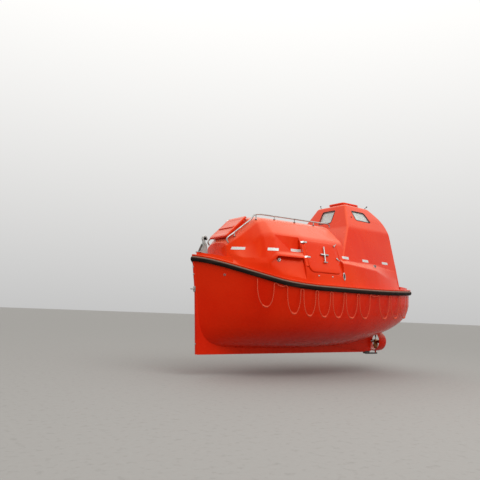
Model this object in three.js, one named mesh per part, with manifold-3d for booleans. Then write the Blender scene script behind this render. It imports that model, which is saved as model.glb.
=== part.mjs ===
// Totally enclosed davit-launched lifeboat, 5 m long, for a little over twenty persons.
// Millimetres, +X to the bow, +Y to port, +Z up.
// Heights in this file are measured from the underside of the keel; the last group
// lowers everything so that the origin lies on the waterline amidships.
import * as THREE from 'three';
import { mergeVertices } from 'three/addons/utils/BufferGeometryUtils.js';
import { ConvexGeometry } from 'three/addons/geometries/ConvexGeometry.js';
import Module from 'manifold-3d';

const wasm = await Module();
wasm.setup();

// Main dimensions
const WATERLINE = 650;
const GAP = 0.3;
const RUNNING = 0.5;
const SEAT = 0.6;
const BEAM_HALF = 1100;
const WIDEST_X = 200;
const BOW_X = 2412;
const STERN_X = -2500;
const OUTLINE_STEPS = 30;

// Sheer line: height of the fender's middle along the boat
const SHEER = [
  { x: -2600, z: 1232 },
  { x: -2000, z: 1186 },
  { x: -1400, z: 1155 },
  { x: -800, z: 1137 },
  { x: -200, z: 1132 },
  { x: 400, z: 1134 },
  { x: 800, z: 1141 },
  { x: 1100, z: 1164 },
  { x: 1300, z: 1194 },
  { x: 1500, z: 1245 },
  { x: 1700, z: 1304 },
  { x: 1900, z: 1369 },
  { x: 2100, z: 1440 },
  { x: 2250, z: 1489 },
  { x: 2400, z: 1524 },
  { x: 2520, z: 1540 },
];
const HULL_TOP_RISE = 44;
const FLANGE_THICKNESS = 25;
const FLANGE_OUT = 34;
const FLANGE_IN = 58;
const FENDER_OUT = 52;
const FENDER_HALF = 40;

// Hull waterlines from the bottom up: height, half breadth, stem and stern ends,
// and how full the bow and the stern are in plan
const WATERLINES = [
  { z: 100, half: 30, bow: 1560, stern: 250, bowFull: 1.8, sternFull: 1.5 },
  { z: 118, half: 150, bow: 1860, stern: -350, bowFull: 1.8, sternFull: 1.6 },
  { z: 150, half: 300, bow: 2030, stern: -950, bowFull: 1.85, sternFull: 1.7 },
  { z: 210, half: 500, bow: 2140, stern: -1290, bowFull: 1.95, sternFull: 1.8 },
  { z: 300, half: 715, bow: 2220, stern: -1560, bowFull: 2.05, sternFull: 2.0 },
  { z: 410, half: 870, bow: 2272, stern: -1845, bowFull: 2.15, sternFull: 2.3 },
  { z: 520, half: 955, bow: 2300, stern: -2150, bowFull: 2.25, sternFull: 2.25 },
  { z: 650, half: 1012, bow: 2322, stern: -2365, bowFull: 2.4, sternFull: 2.35 },
  { z: 800, half: 1048, bow: 2337, stern: -2470, bowFull: 2.55, sternFull: 2.5 },
  { z: 940, half: 1076, bow: 2350, stern: -2500, bowFull: 2.65, sternFull: 2.55 },
];
const BAND_DROP = 60;

// Cavity of the hull from the sole up
const SOLE_Z = 372;
const HOLLOWS = [
  { z: SOLE_Z, half: 690, bow: 1990, stern: -1380, bowFull: 2.05, sternFull: 2.0 },
  { z: 520, half: 870, bow: 2180, stern: -1800, bowFull: 2.2, sternFull: 2.1 },
  { z: 650, half: 945, bow: 2230, stern: -2140, bowFull: 2.35, sternFull: 2.2 },
  { z: 800, half: 995, bow: 2262, stern: -2340, bowFull: 2.5, sternFull: 2.3 },
  { z: 940, half: 1025, bow: 2280, stern: -2420, bowFull: 2.6, sternFull: 2.4 },
];
const HULL_WALL = 44;

// Keel plate, stem and skeg
const KEEL_HALF = 30;
const STEM = [
  { z: 0, x: 2298 },
  { z: 170, x: 2308 },
  { z: 700, x: 2341 },
  { z: 1090, x: 2370 },
  { z: 1280, x: 2397 },
  { z: 1478, x: 2420 },
];
const STEM_DEPTH = 56;
const SKEG_END = -1800;
const SHAFT_Z = 215;
const HEEL = { fore: -1620, rebate: 16, half: 22, footTop: -16, footLow: -42 };

// Superstructure stations: the lower side, its step, the crease, the roof edge and the ridge
const CANOPY_WALL = 48;
const STATIONS = [
  { x: 1985, ledgeY: 300, ledgeZ: 1575, stepY: 293, stepZ: 1640,
    creaseY: 285, creaseZ: 1730, roofY: 245, roofZ: 1790, ridgeZ: 1828 },
  { x: 1860, ledgeY: 560, ledgeZ: 1490, stepY: 530, stepZ: 1570,
    creaseY: 415, creaseZ: 1700, roofY: 321, roofZ: 1907, ridgeZ: 1948 },
  { x: 1680, ledgeY: 693, ledgeZ: 1480, stepY: 665, stepZ: 1560,
    creaseY: 518, creaseZ: 1820, roofY: 371, roofZ: 2068, ridgeZ: 2122 },
  { x: 1510, ledgeY: 800, ledgeZ: 1490, stepY: 770, stepZ: 1560,
    creaseY: 635, creaseZ: 1937, roofY: 420, roofZ: 2222, ridgeZ: 2286 },
  { x: 1360, ledgeY: 862, ledgeZ: 1637, stepY: 815, stepZ: 1690,
    creaseY: 712, creaseZ: 1981, roofY: 430, roofZ: 2268, ridgeZ: 2338 },
  { x: 800, ledgeY: 1015, ledgeZ: 1630, stepY: 925, stepZ: 1680,
    creaseY: 800, creaseZ: 1975, roofY: 432, roofZ: 2280, ridgeZ: 2360 },
  { x: -130, ledgeY: 1010, ledgeZ: 1592, stepY: 938, stepZ: 1640,
    creaseY: 800, creaseZ: 1968, roofY: 432, roofZ: 2285, ridgeZ: 2365 },
  { x: -190, ledgeY: 1008, ledgeZ: 1588, stepY: 932, stepZ: 1636,
    creaseY: 740, creaseZ: 1880, roofY: 400, roofZ: 2120, ridgeZ: 2180 },
  { x: -500, ledgeY: 990, ledgeZ: 1565, stepY: 905, stepZ: 1622,
    creaseY: 700, creaseZ: 1860, roofY: 400, roofZ: 2010, ridgeZ: 2060 },
  { x: -880, ledgeY: 945, ledgeZ: 1535, stepY: 868, stepZ: 1622,
    creaseY: 700, creaseZ: 1830, roofY: 400, roofZ: 1970, ridgeZ: 2020 },
  { x: -1250, ledgeY: 893, ledgeZ: 1420, stepY: 805, stepZ: 1600,
    creaseY: 690, creaseZ: 1780, roofY: 400, roofZ: 1930, ridgeZ: 1980 },
  { x: -1670, ledgeY: 772, ledgeZ: 1440, stepY: 745, stepZ: 1590,
    creaseY: 640, creaseZ: 1700, roofY: 400, roofZ: 1800, ridgeZ: 1850 },
];
const BASE_INSET = 34;
const AFT_BASE_Y = 800;
const DECK_FORE = { aftX: 1960, x: 2180, z: 1600, rise: 0.22 };
const DECK_AFT = { foreX: -1640, z: 1290 };

// Recesses in the side ahead of the door, one under the ledge and a three-cornered one above it
const LOWER_RECESS = [
  { x: 1494, innerY: 822, outerY: 868, z: 1474 },
  { x: 1360, innerY: 790, outerY: 940, z: 1614 },
  { x: 890, innerY: 912, outerY: 1110, z: 1606 },
  { x: 1400, innerY: 884, outerY: 940, z: 1340 },
  { x: 890, innerY: 1018, outerY: 1110, z: 1268 },
];
const UPPER_RECESS = [
  { x: 1365, innerY: 708, outerY: 790, z: 1990 },
  { x: 1090, innerY: 792, outerY: 920, z: 1706 },
  { x: 880, innerY: 802, outerY: 960, z: 1706 },
  { x: 880, innerY: 786, outerY: 900, z: 1970 },
];
const RECESS_WALL = 40;

// Conning tower levels from its foot up: fore and aft face, half breadth at each
const TOWER = [
  { z: 1270, foreX: 20, aftX: -1742, foreY: 939, aftY: 790 },
  { z: 1650, foreX: 20, aftX: -1695, foreY: 950, aftY: 731 },
  { z: 2330, foreX: -405, aftX: -1642, foreY: 660, aftY: 597 },
  { z: 2580, foreX: -518, aftX: -1585, foreY: 511, aftY: 472 },
  { z: 2815, foreX: -625, aftX: -1290, foreY: 371, aftY: 335 },
];
const TOWER_TOP = TOWER[TOWER.length - 1];
const TOWER_CORNER = 34;

// Side doors
const DOOR = { aftX: 120, foreX: 820, lowZ: 1395, highZ: 1925, lip: 26, corner: 60 };
const DOOR_PLANE = { lowY: 1030, lowZ: 1380, highY: 806, highZ: 1960 };
const POCKET = { aftX: 55, foreX: 905, lowZ: 1368, highZ: 1972 };
const DOOR_LINING = { reach: 70, depth: 26 };
const DOOR_PLATE = 24;
const DOOR_PLUG = 42;
const HANDLE = { x: 445, lowZ: 1560, midZ: 1690, highZ: 1832, lean: 25, cross: 90 };

// Hinge strips of the doors and lids
const HINGE = { beside: 16, barrel: 8, leaf: 2.5, reach: 46, half: 175, lowZ: 1480, highZ: 1840 };
const HINGE_OFF = 14;

// Fore hatch on the sloping front
const HATCH = {
  lowX: 1922, highX: 1555, half: 250, plate: 34, coaming: 36, rim: 40, inset: 20,
};
const HATCH_OVER = 14;
// Hatch on the tower's top
const LID = { foreX: -752, aftX: -1185, half: 200, plate: 34, coaming: 52, rim: 32, inset: 12 };
// Hatch in the aft face
const AFT_HATCH = { lowZ: 1600, highZ: 2060, half: 225, plate: 26, rim: 28 };

// Windows: half width or span along the face, lower and upper height
const FRONT_WINDOW = { half: 165, lowZ: 2458, highZ: 2712 };
const BACK_WINDOW = { half: 165, lowZ: 2372, highZ: 2552 };
const SIDE_WINDOW = {
  lowFore: -745, lowAft: -1164, highFore: -721, highAft: -1084, lowZ: 2502, highZ: 2690,
};
const PANE = { thick: 8, depth: 30 };

// Steering nozzle and propeller
const NOZZLE = { x: -1970, inner: 174, outer: 195, length: 220 };
const PROP = { radius: 158, hub: 36, hubLength: 92, blades: 4, thickness: 9, pitch: 0.62 };
const SHAFT_RADIUS = 17;
const SHAFT_END = -1460;
const STOCK_RADIUS = 20;
const PINTLE_RADIUS = 15;

// Lifelines: where the rope is held under the fender, from bow to stern
const HELD = [1685, 1430, 1280, 1008, 730, 423, 113, -218, -550, -767, -1130, -1495, -1860];
const ROPE_RADIUS = 6;
const FLOAT_RADIUS = 15;
const BOW_RADIUS = 26;
const LOOP_DEPTH = 400;
const LOOP_STEPS = 8;
const LOOP_FULLNESS = 0.72;
const LINK_REACH = 240;
const LINK_DEPTH = 10;
const FLOAT_TURN = 0.5;
const BOW_SAG = 14;

// Release hooks
const HOOK_FORE = { x: 2262, z: 1618, rise: DECK_FORE.rise, pinUp: 150 };
const HOOK_AFT = { x: -2180, z: DECK_AFT.z, rise: 0, pinUp: 122 };
const PIN = { back: 32, radius: 13, half: 46 };

// Cabin fittings
const BENCH = { innerY: 500, outerY: 838, topZ: 780, board: 38 };
const ENGINE_TOP = 900;
const WHEEL = { x: -690, z: 1800, radius: 170, hubEnd: -590, hubRadius: 22 };

// Materials
const orange = (rough) => (
  new THREE.MeshStandardMaterial({ color: '#d8321a', roughness: rough, metalness: 0 }));
const rubber = new THREE.MeshStandardMaterial({ color: '#2a1f1c', roughness: 0.75, metalness: 0 });
const steel = new THREE.MeshStandardMaterial({ color: '#c4c6c8', roughness: 0.28, metalness: 1 });
const galvanised = new THREE.MeshStandardMaterial({ color: '#b9b8b2', roughness: 0.5, metalness: 0.8 });
const bronze = new THREE.MeshStandardMaterial({ color: '#9a6a3c', roughness: 0.35, metalness: 1 });
const clear = new THREE.MeshStandardMaterial({ color: '#dfe9ea', roughness: 0.08, metalness: 0 });
const ropeOrange = new THREE.MeshStandardMaterial({ color: '#d2552c', roughness: 0.85, metalness: 0 });
const cabinWhite = new THREE.MeshStandardMaterial({ color: '#d9d8d2', roughness: 0.6, metalness: 0 });
const darkPaint = new THREE.MeshStandardMaterial({ color: '#26282b', roughness: 0.55, metalness: 0.2 });
const engineGrey = new THREE.MeshStandardMaterial({ color: '#5c6a70', roughness: 0.6, metalness: 0.3 });

// Linear interpolation in a table of points
function along(table, key, x) {
  const rising = table[0].x < table[table.length - 1].x ? table : [...table].reverse();
  if (x <= rising[0].x) return rising[0][key];
  for (let i = 1; i < rising.length; i += 1) {
    const a = rising[i - 1];
    const b = rising[i];
    if (x <= b.x) return a[key] + ((b[key] - a[key]) * (x - a.x)) / (b.x - a.x);
  }
  return rising[rising.length - 1][key];
}

// The same in a table whose rows rise in height
function atHeight(table, key, z) {
  const found = table.findIndex((row) => z <= row.z);
  const k = found < 0 ? table.length - 1 : Math.max(found, 1);
  const a = table[k - 1];
  const b = table[k];
  return a[key] + ((b[key] - a[key]) * (z - a.z)) / (b.z - a.z);
}

// Smooth curve through the sheer points
const sheerCurve = new THREE.CatmullRomCurve3(
  SHEER.map((p) => new THREE.Vector3(p.x, 0, p.z)), false, 'centripetal');
const sheerPoints = sheerCurve.getPoints(160).map((p) => ({ x: p.x, z: p.z }));
const sheerZ = (x) => along(sheerPoints, 'z', x);

// One point of a waterline: t runs from the stem round by port, the stern and starboard.
// The bow comes to a point at the stem and the stern is rounded.
function outlinePoint(line, t) {
  const c = Math.cos(t);
  const s = Math.sin(t);
  const fore = c >= 0;
  const full = fore ? line.bowFull : line.sternFull;
  const reach = fore ? line.bow - WIDEST_X : WIDEST_X - line.stern;
  const x = WIDEST_X + (fore ? 1 : -1) * reach * Math.abs(c) ** (2 / full);
  const y = Math.sign(s) * line.half * Math.abs(s) ** (fore ? 2 : 2 / full);
  return new THREE.Vector2(x, Math.abs(s) < 1e-9 ? 0 : y);
}

// A waterline drawn in by a wall; a wall square to the slanting bow is deeper along the boat
const BOW_SLANT = 1.28;
function drawnIn(line, wall) {
  return { ...line, half: line.half - wall, bow: line.bow - wall * BOW_SLANT, stern: line.stern + wall };
}

// The same point moved by a distance square to the outline, outward where it is positive
function offsetPoint(line, t, out) {
  if (out <= 0) return outlinePoint(drawnIn(line, -out), t);
  const p = outlinePoint(line, t);
  const step = 0.012;
  const a = outlinePoint(line, t - step);
  const b = outlinePoint(line, t + step);
  const along2 = b.sub(a).normalize();
  return new THREE.Vector2(p.x + along2.y * out, p.y - along2.x * out);
}

const angles = [];
for (let i = 0; i < 2 * OUTLINE_STEPS; i += 1) angles.push((i * Math.PI) / OUTLINE_STEPS);

const sheerLine = { half: BEAM_HALF, bow: BOW_X, stern: STERN_X, bowFull: 2.8, sternFull: 2.5 };

// A ring of points that follows the sheer line, moved outward and up
function sheerRing(out, up) {
  return angles.map((t) => {
    const base = outlinePoint(sheerLine, t);
    const p = offsetPoint(sheerLine, t, out);
    return new THREE.Vector3(p.x, p.y, sheerZ(base.x) + up);
  });
}

// A ring that follows the sheer line in plan and lies level
function levelRing(out, z) {
  return angles.map((t) => {
    const p = offsetPoint(sheerLine, t, out);
    return new THREE.Vector3(p.x, p.y, z);
  });
}

function waterlineRing(line) {
  return angles.map((t) => {
    const p = outlinePoint(line, t);
    return new THREE.Vector3(p.x, p.y, line.z);
  });
}

// Skin between successive rings of equal point count, closed by flat or dished caps
function loft(rings, closed = false) {
  const n = rings[0].length;
  const position = [];
  const index = [];
  rings.forEach((ring) => ring.forEach((p) => position.push(p.x, p.y, p.z)));
  const bands = closed ? rings.length : rings.length - 1;
  for (let r = 0; r < bands; r += 1) {
    const a = r * n;
    const b = ((r + 1) % rings.length) * n;
    for (let i = 0; i < n; i += 1) {
      const j = (i + 1) % n;
      index.push(a + i, a + j, b + j, a + i, b + j, b + i);
    }
  }
  const cap = (r, flip) => {
    const ring = rings[r];
    const middle = ring.reduce((sum, p) => sum.add(p), new THREE.Vector3()).divideScalar(n);
    const m = position.length / 3;
    position.push(middle.x, middle.y, middle.z);
    for (let i = 0; i < n; i += 1) {
      const j = (i + 1) % n;
      if (flip) index.push(m, r * n + j, r * n + i);
      else index.push(m, r * n + i, r * n + j);
    }
  };
  if (!closed) {
    cap(0, true);
    cap(rings.length - 1, false);
  }
  return meshOf(position, index);
}

// Closed mesh whose faces point outward whatever the order of its rings
function meshOf(position, index) {
  const corner = (k) => new THREE.Vector3().fromArray(position, 3 * k);
  let volume = 0;
  for (let i = 0; i < index.length; i += 3) {
    volume += corner(index[i]).dot(corner(index[i + 1]).cross(corner(index[i + 2])));
  }
  const faces = volume >= 0 ? index : index.slice().reverse();
  const geometry = new THREE.BufferGeometry();
  geometry.setAttribute('position', new THREE.Float32BufferAttribute(position, 3));
  geometry.setIndex(faces);
  return geometry;
}

function solid(geometry) {
  const plain = geometry.clone();
  plain.deleteAttribute('normal');
  plain.deleteAttribute('uv');
  const merged = mergeVertices(plain, 1e-3);
  return new wasm.Manifold(new wasm.Mesh({
    numProp: 3,
    vertProperties: new Float32Array(merged.attributes.position.array),
    triVerts: new Uint32Array(merged.index.array),
  }));
}

function shape(body) {
  const mesh = body.getMesh();
  const geometry = new THREE.BufferGeometry();
  geometry.setAttribute('position', new THREE.BufferAttribute(new Float32Array(mesh.vertProperties), 3));
  geometry.setIndex(new THREE.BufferAttribute(new Uint32Array(mesh.triVerts), 1));
  const flat = geometry.toNonIndexed();
  flat.computeVertexNormals();
  return flat;
}

const join = (...bodies) => bodies.reduce((sum, b) => sum.add(b));
const cut = (body, ...tools) => tools.reduce((left, t) => left.subtract(t), body);

function block(x0, x1, y0, y1, z0, z1) {
  const g = new THREE.BoxGeometry(Math.abs(x1 - x0), Math.abs(y1 - y0), Math.abs(z1 - z0));
  g.translate((x0 + x1) / 2, (y0 + y1) / 2, (z0 + z1) / 2);
  return solid(g);
}

// Round bar between two points
function bar(from, to, radius, sides = 16) {
  const a = new THREE.Vector3(...from);
  const b = new THREE.Vector3(...to);
  const g = new THREE.CylinderGeometry(radius, radius, a.distanceTo(b), sides);
  const turn = new THREE.Quaternion().setFromUnitVectors(
    new THREE.Vector3(0, 1, 0), b.clone().sub(a).normalize());
  g.applyQuaternion(turn);
  g.translate((a.x + b.x) / 2, (a.y + b.y) / 2, (a.z + b.z) / 2);
  return solid(g);
}

const hullOf = (points) => solid(new ConvexGeometry(points.map((p) => new THREE.Vector3(...p))));

// Prism on an outline in the x-z plane, from y0 to y1
function prism(outline, y0, y1) {
  const ring = (y) => outline.map(([x, z]) => new THREE.Vector3(x, y, z));
  return solid(loft([ring(y0), ring(y1)]));
}

// Tube of changing radius along a line of points
function tube(points, radiusAt, sides = 8) {
  const n = points.length;
  const rings = points.map((p, i) => {
    const ahead = points[Math.min(i + 1, n - 1)];
    const behind = points[Math.max(i - 1, 0)];
    const run = ahead.clone().sub(behind).normalize();
    const side = new THREE.Vector3(0, 1, 0).cross(run).normalize();
    const up = run.clone().cross(side);
    const r = radiusAt(i);
    const ring = [];
    for (let k = 0; k < sides; k += 1) {
      const a = (2 * Math.PI * k) / sides;
      ring.push(p.clone().addScaledVector(side, r * Math.cos(a)).addScaledVector(up, r * Math.sin(a)));
    }
    return ring;
  });
  return loft(rings);
}

const mirror = (body) => body.mirror([0, 1, 0]);

// Hull moulding with its keel, stem and skeg
function hullBody() {
  const rings = WATERLINES.map(waterlineRing);
  rings.push(sheerRing(0, -BAND_DROP));
  rings.push(sheerRing(0, HULL_TOP_RISE + 90));
  const outer = solid(loft(rings));
  const aboveTop = ringSolid(-FLANGE_IN, FLANGE_OUT, HULL_TOP_RISE, HULL_TOP_RISE + 200);
  const inner = HOLLOWS.map(waterlineRing);
  inner.push(sheerRing(-HULL_WALL, -BAND_DROP));
  inner.push(sheerRing(-HULL_WALL, HULL_TOP_RISE + 400));
  const cavity = solid(loft(inner));
  const keel = join(keelBody(), stemBody());
  const bores = [
    bar([SKEG_END - 60, 0, SHAFT_Z], [SHAFT_END + 20, 0, SHAFT_Z], SHAFT_RADIUS + RUNNING, 20),
    bar([NOZZLE.x, 0, 380], [NOZZLE.x, 0, 760], STOCK_RADIUS + RUNNING, 20),
  ];
  return cut(join(outer, keel), cavity, aboveTop, ...bores);
}

function keelBody() {
  const outline = [
    [STEM[0].x - STEM_DEPTH / 2, 0], [STEM[0].x, 560], [2100, 560], [1900, 240], [1500, 150],
    [-300, 150], [-1000, 300], [-1500, 420], [SKEG_END, 470], [SKEG_END, HEEL.rebate],
    [HEEL.fore, HEEL.rebate], [HEEL.fore, 0],
  ];
  return prism(outline, -KEEL_HALF, KEEL_HALF);
}

// Stem bar from the keel up to the fender
function stemBody() {
  const edge = (row) => [-KEEL_HALF, KEEL_HALF].flatMap((y) => (
    [[row.x, y, row.z], [row.x - STEM_DEPTH, y, row.z]]));
  return join(...STEM.slice(1).map((row, i) => hullOf([...edge(STEM[i]), ...edge(row)])));
}

// Rubber fender round the gunwale, D-shaped in section
function fenderBody() {
  const section = [
    { out: GAP, up: -FENDER_HALF }, { out: FENDER_OUT * 0.62, up: -FENDER_HALF },
    { out: FENDER_OUT * 0.93, up: -FENDER_HALF * 0.6 }, { out: FENDER_OUT, up: 0 },
    { out: FENDER_OUT * 0.93, up: FENDER_HALF * 0.6 }, { out: FENDER_OUT * 0.62, up: FENDER_HALF },
    { out: GAP, up: FENDER_HALF },
  ];
  return solid(loft(section.map((p) => sheerRing(p.out, p.up)), true));
}

// One section of the superstructure, moved inward by a wall thickness
function stationRing(s, wall) {
  const baseY = Math.min(sideY(s.x) - BASE_INSET, s.x < -1600 ? AFT_BASE_Y : BEAM_HALF) - wall;
  const baseZ = sheerZ(s.x) + HULL_TOP_RISE + (wall ? -60 : 20);
  const side = wall * 1.06;
  const half = [
    [baseY, baseZ],
    [s.ledgeY - side, s.ledgeZ - wall * 0.2],
    [s.stepY - side, s.stepZ - wall * 0.4],
    [s.creaseY - side * 0.95, s.creaseZ - wall * 0.35],
    [s.roofY + 40 - wall * 0.55, s.roofZ - 34 - wall * 0.85],
    [s.roofY - 40 - wall * 0.45, s.roofZ + 12 - wall],
    [s.roofY * 0.5, s.roofZ + (s.ridgeZ - s.roofZ) * 0.78 - wall],
  ];
  const port = half.map(([y, z]) => new THREE.Vector3(s.x, y, z));
  const ridge = new THREE.Vector3(s.x, 0, s.ridgeZ - wall);
  const starboard = half.map(([y, z]) => new THREE.Vector3(s.x, -y, z)).reverse();
  return [...port, ridge, ...starboard];
}

// Half breadth of the sheer outline at a distance along the boat
function sideY(x) {
  const fore = x >= WIDEST_X;
  const full = fore ? sheerLine.bowFull : sheerLine.sternFull;
  const reach = fore ? BOW_X - WIDEST_X : WIDEST_X - STERN_X;
  return BEAM_HALF * (1 - (Math.abs(x - WIDEST_X) / reach) ** full) ** (fore ? 1 : 1 / full);
}

function towerRing(level, wall) {
  const x0 = level.foreX - wall * 1.12;
  const x1 = level.aftX + wall * 1.05;
  const y0 = level.foreY - wall * 1.15;
  const y1 = level.aftY - wall * 1.15;
  const r = TOWER_CORNER;
  const slope = (y0 - y1) / (x0 - x1);
  const half = [
    [x0, y0 - r], [x0 - r * 0.3, y0 - r * 0.3 - r * 0.3 * slope], [x0 - r, y0 - r * slope],
    [x1 + r, y1 + r * slope], [x1 + r * 0.3, y1 - r * 0.3 + r * 0.3 * slope], [x1, y1 - r],
  ];
  const z = level.z - (level === TOWER_TOP ? wall : 0);
  const port = half.map(([x, y]) => new THREE.Vector3(x, y, z));
  const starboard = half.map(([x, y]) => new THREE.Vector3(x, -y, z)).reverse();
  return [...port, ...starboard];
}

// Plane of the side doors: half breadth at a height
const doorY = (z) => {
  const k = (DOOR_PLANE.highY - DOOR_PLANE.lowY) / (DOOR_PLANE.highZ - DOOR_PLANE.lowZ);
  return DOOR_PLANE.lowY + k * (z - DOOR_PLANE.lowZ);
};

// Point square out from the door plane
function doorPoint(x, z, out) {
  const lean = Math.atan((DOOR_PLANE.lowY - DOOR_PLANE.highY) / (DOOR_PLANE.highZ - DOOR_PLANE.lowZ));
  return [x, doorY(z) + out * Math.cos(lean), z + out * Math.sin(lean)];
}

// Slab parallel to the door plane, its edges square to it, over an outline in the x-z plane
function doorSlab(outline, from, to) {
  const ring = (out) => outline.map(([x, z]) => new THREE.Vector3(...doorPoint(x, z, out)));
  return solid(loft([ring(from), ring(to)]));
}

function doorOutline(shrink) {
  const x0 = DOOR.aftX + shrink;
  const x1 = DOOR.foreX - shrink;
  const z0 = DOOR.lowZ + shrink;
  const z1 = DOOR.highZ - shrink;
  const c = DOOR.corner - shrink * 0.5;
  return [
    [x0 + c, z0], [x1 - c, z0], [x1 - c * 0.3, z0 + c * 0.3], [x1, z0 + c],
    [x1, z1 - c * 0.4], [x1 - c * 0.4, z1], [x0 + c * 0.4, z1], [x0, z1 - c * 0.4],
    [x0, z0 + c], [x0 + c * 0.3, z0 + c * 0.3],
  ];
}

// Sloping front: height of the surface on the centreline, and its direction
const SLOPE = { lowX: 1985, highX: 1510 };
const ridgeAt = (x) => along(STATIONS, 'ridgeZ', x);
const slopeRise = (ridgeAt(SLOPE.highX) - ridgeAt(SLOPE.lowX)) / (SLOPE.lowX - SLOPE.highX);
const slopeAngle = Math.atan(slopeRise);
const slopeZ = (x) => ridgeAt(SLOPE.lowX) + (SLOPE.lowX - x) * slopeRise;

// Point beside the sloping front: a place along it, moved up the slope and square to it
function slopePoint(x, upSlope, out) {
  return {
    x: x - upSlope * Math.cos(slopeAngle) + out * Math.sin(slopeAngle),
    z: slopeZ(x) + upSlope * Math.sin(slopeAngle) + out * Math.cos(slopeAngle),
  };
}

// Slab on the slope between two places along it, raised square to the slope
function slopeSlab(lowX, highX, half, from, to) {
  const ring = (out) => [[lowX, half], [lowX, -half], [highX, -half], [highX, half]].map(([x, y]) => {
    const p = slopePoint(x, 0, out);
    return new THREE.Vector3(p.x, y, p.z);
  });
  return solid(loft([ring(from), ring(to)]));
}

// Faces of the tower at a height: fore, aft and flank
const frontX = (z) => atHeight(TOWER, 'foreX', z);
const backX = (z) => atHeight(TOWER, 'aftX', z);
const flankY = (z, x) => {
  const fore = atHeight(TOWER, 'foreY', z);
  const u = (x - frontX(z)) / (backX(z) - frontX(z));
  return fore + u * (atHeight(TOWER, 'aftY', z) - fore);
};

// Block through the fore or aft face of the tower, square to y, between two depths
function faceWindow(pane, faceX, grow, from, to) {
  const z0 = pane.lowZ - grow;
  const z1 = pane.highZ + grow;
  const h = pane.half + grow;
  const ring = (d) => [[z0, h], [z0, -h], [z1, -h], [z1, h]].map(([z, y]) => (
    new THREE.Vector3(faceX(z) + d, y, z)));
  return solid(loft([ring(from), ring(to)]));
}

function flankWindow(grow, from, to) {
  const w = SIDE_WINDOW;
  const corners = [
    [w.lowFore + grow, w.lowZ - grow], [w.lowAft - grow, w.lowZ - grow],
    [w.highAft - grow * 0.6, w.highZ + grow], [w.highFore + grow * 0.6, w.highZ + grow],
  ];
  const ring = (d) => corners.map(([x, z]) => new THREE.Vector3(x, flankY(z, x) + d, z));
  return solid(loft([ring(from), ring(to)]));
}

// Superstructure moulding: fore part, tower, decks at both ends and the flange
function canopyBody() {
  const shellOut = solid(loft(STATIONS.map((s) => stationRing(s, 0))));
  const inside = STATIONS.map((s, i) => {
    const shift = (i === 0 ? -CANOPY_WALL : 0) + (i === STATIONS.length - 1 ? CANOPY_WALL : 0);
    return stationRing({ ...s, x: s.x + shift }, CANOPY_WALL);
  });
  const shellIn = solid(loft(inside));
  const towerOut = solid(loft(TOWER.map((l) => towerRing(l, 0))));
  const towerIn = solid(loft([{ ...TOWER[0], z: 1150 }, ...TOWER].map((l) => towerRing(l, CANOPY_WALL))
    .map((ring, i, all) => (i === all.length - 1 ? topInside(ring) : ring))));
  const seat = HULL_TOP_RISE + GAP;
  const flange = ringSolid(-FLANGE_IN, FLANGE_OUT, seat, seat + FLANGE_THICKNESS);
  const plain = cut(join(shellOut, towerOut, flange, foreDeck(), aftDeck()), shellIn, towerIn);
  const recesses = [LOWER_RECESS, UPPER_RECESS].flatMap((rows) => {
    const backing = recessBody(rows, RECESS_WALL).intersect(shellOut);
    const port = { hollow: recessBody(rows, 0), backing };
    return [port, { hollow: mirror(port.hollow), backing: mirror(backing) }];
  });
  const lining = doorSlab(doorOutline(-DOOR_LINING.reach), -DOOR_LINING.depth, 5).intersect(shellOut);
  const backed = join(plain, lining, mirror(lining), ...recesses.map((r) => r.backing));
  return fitOpenings(cut(backed, ...recesses.map((r) => r.hollow)));
}

// Hollow of a recess, or with a wall the block that closes it from inside
function recessBody(rows, wall) {
  const low = wall ? 0.4 * wall : 0;
  return hullOf(rows.flatMap((row) => [
    [row.x, row.innerY - wall, row.z - low], [row.x, row.outerY, row.z + low],
    [row.x, row.innerY - wall, row.z + low], [row.x, row.outerY, row.z - low],
  ]));
}

const topInside = (ring) => ring.map((p) => new THREE.Vector3(p.x, p.y, TOWER_TOP.z - CANOPY_WALL));

// Ring of rectangular section that follows the sheer line
function ringSolid(inner, outer, low, high) {
  return solid(loft([
    sheerRing(inner, low), sheerRing(outer, low), sheerRing(outer, high), sheerRing(inner, high),
  ], true));
}

// Height of the fore deck, which rises to the bow
const deckZ = (x) => DECK_FORE.z + DECK_FORE.rise * (x - DECK_FORE.x);

function foreDeck() {
  const raised = solid(loft([
    sheerRing(-BASE_INSET, HULL_TOP_RISE + 8), levelRing(-BASE_INSET - 26, 1760),
  ]));
  const keep = hullOf([DECK_FORE.aftX, BOW_X + 100].flatMap((x) => (
    [-900, 900].flatMap((y) => [[x, y, 1300], [x, y, deckZ(x)]]))));
  return raised.intersect(keep);
}

function aftDeck() {
  const raised = solid(loft([
    sheerRing(-BASE_INSET, HULL_TOP_RISE + 8), levelRing(-BASE_INSET - 10, 1700),
  ]));
  return raised.intersect(block(DECK_AFT.foreX, STERN_X - 100, -1100, 1100, 1100, DECK_AFT.z));
}

// Block on the tower's top, smaller than the lid all round, between two heights above it
function topBlock(inset, low, high) {
  const half = LID.half - inset;
  const top = TOWER_TOP.z;
  return block(LID.foreX - inset, LID.aftX + inset, -half, half, top + low, top + high);
}

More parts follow.
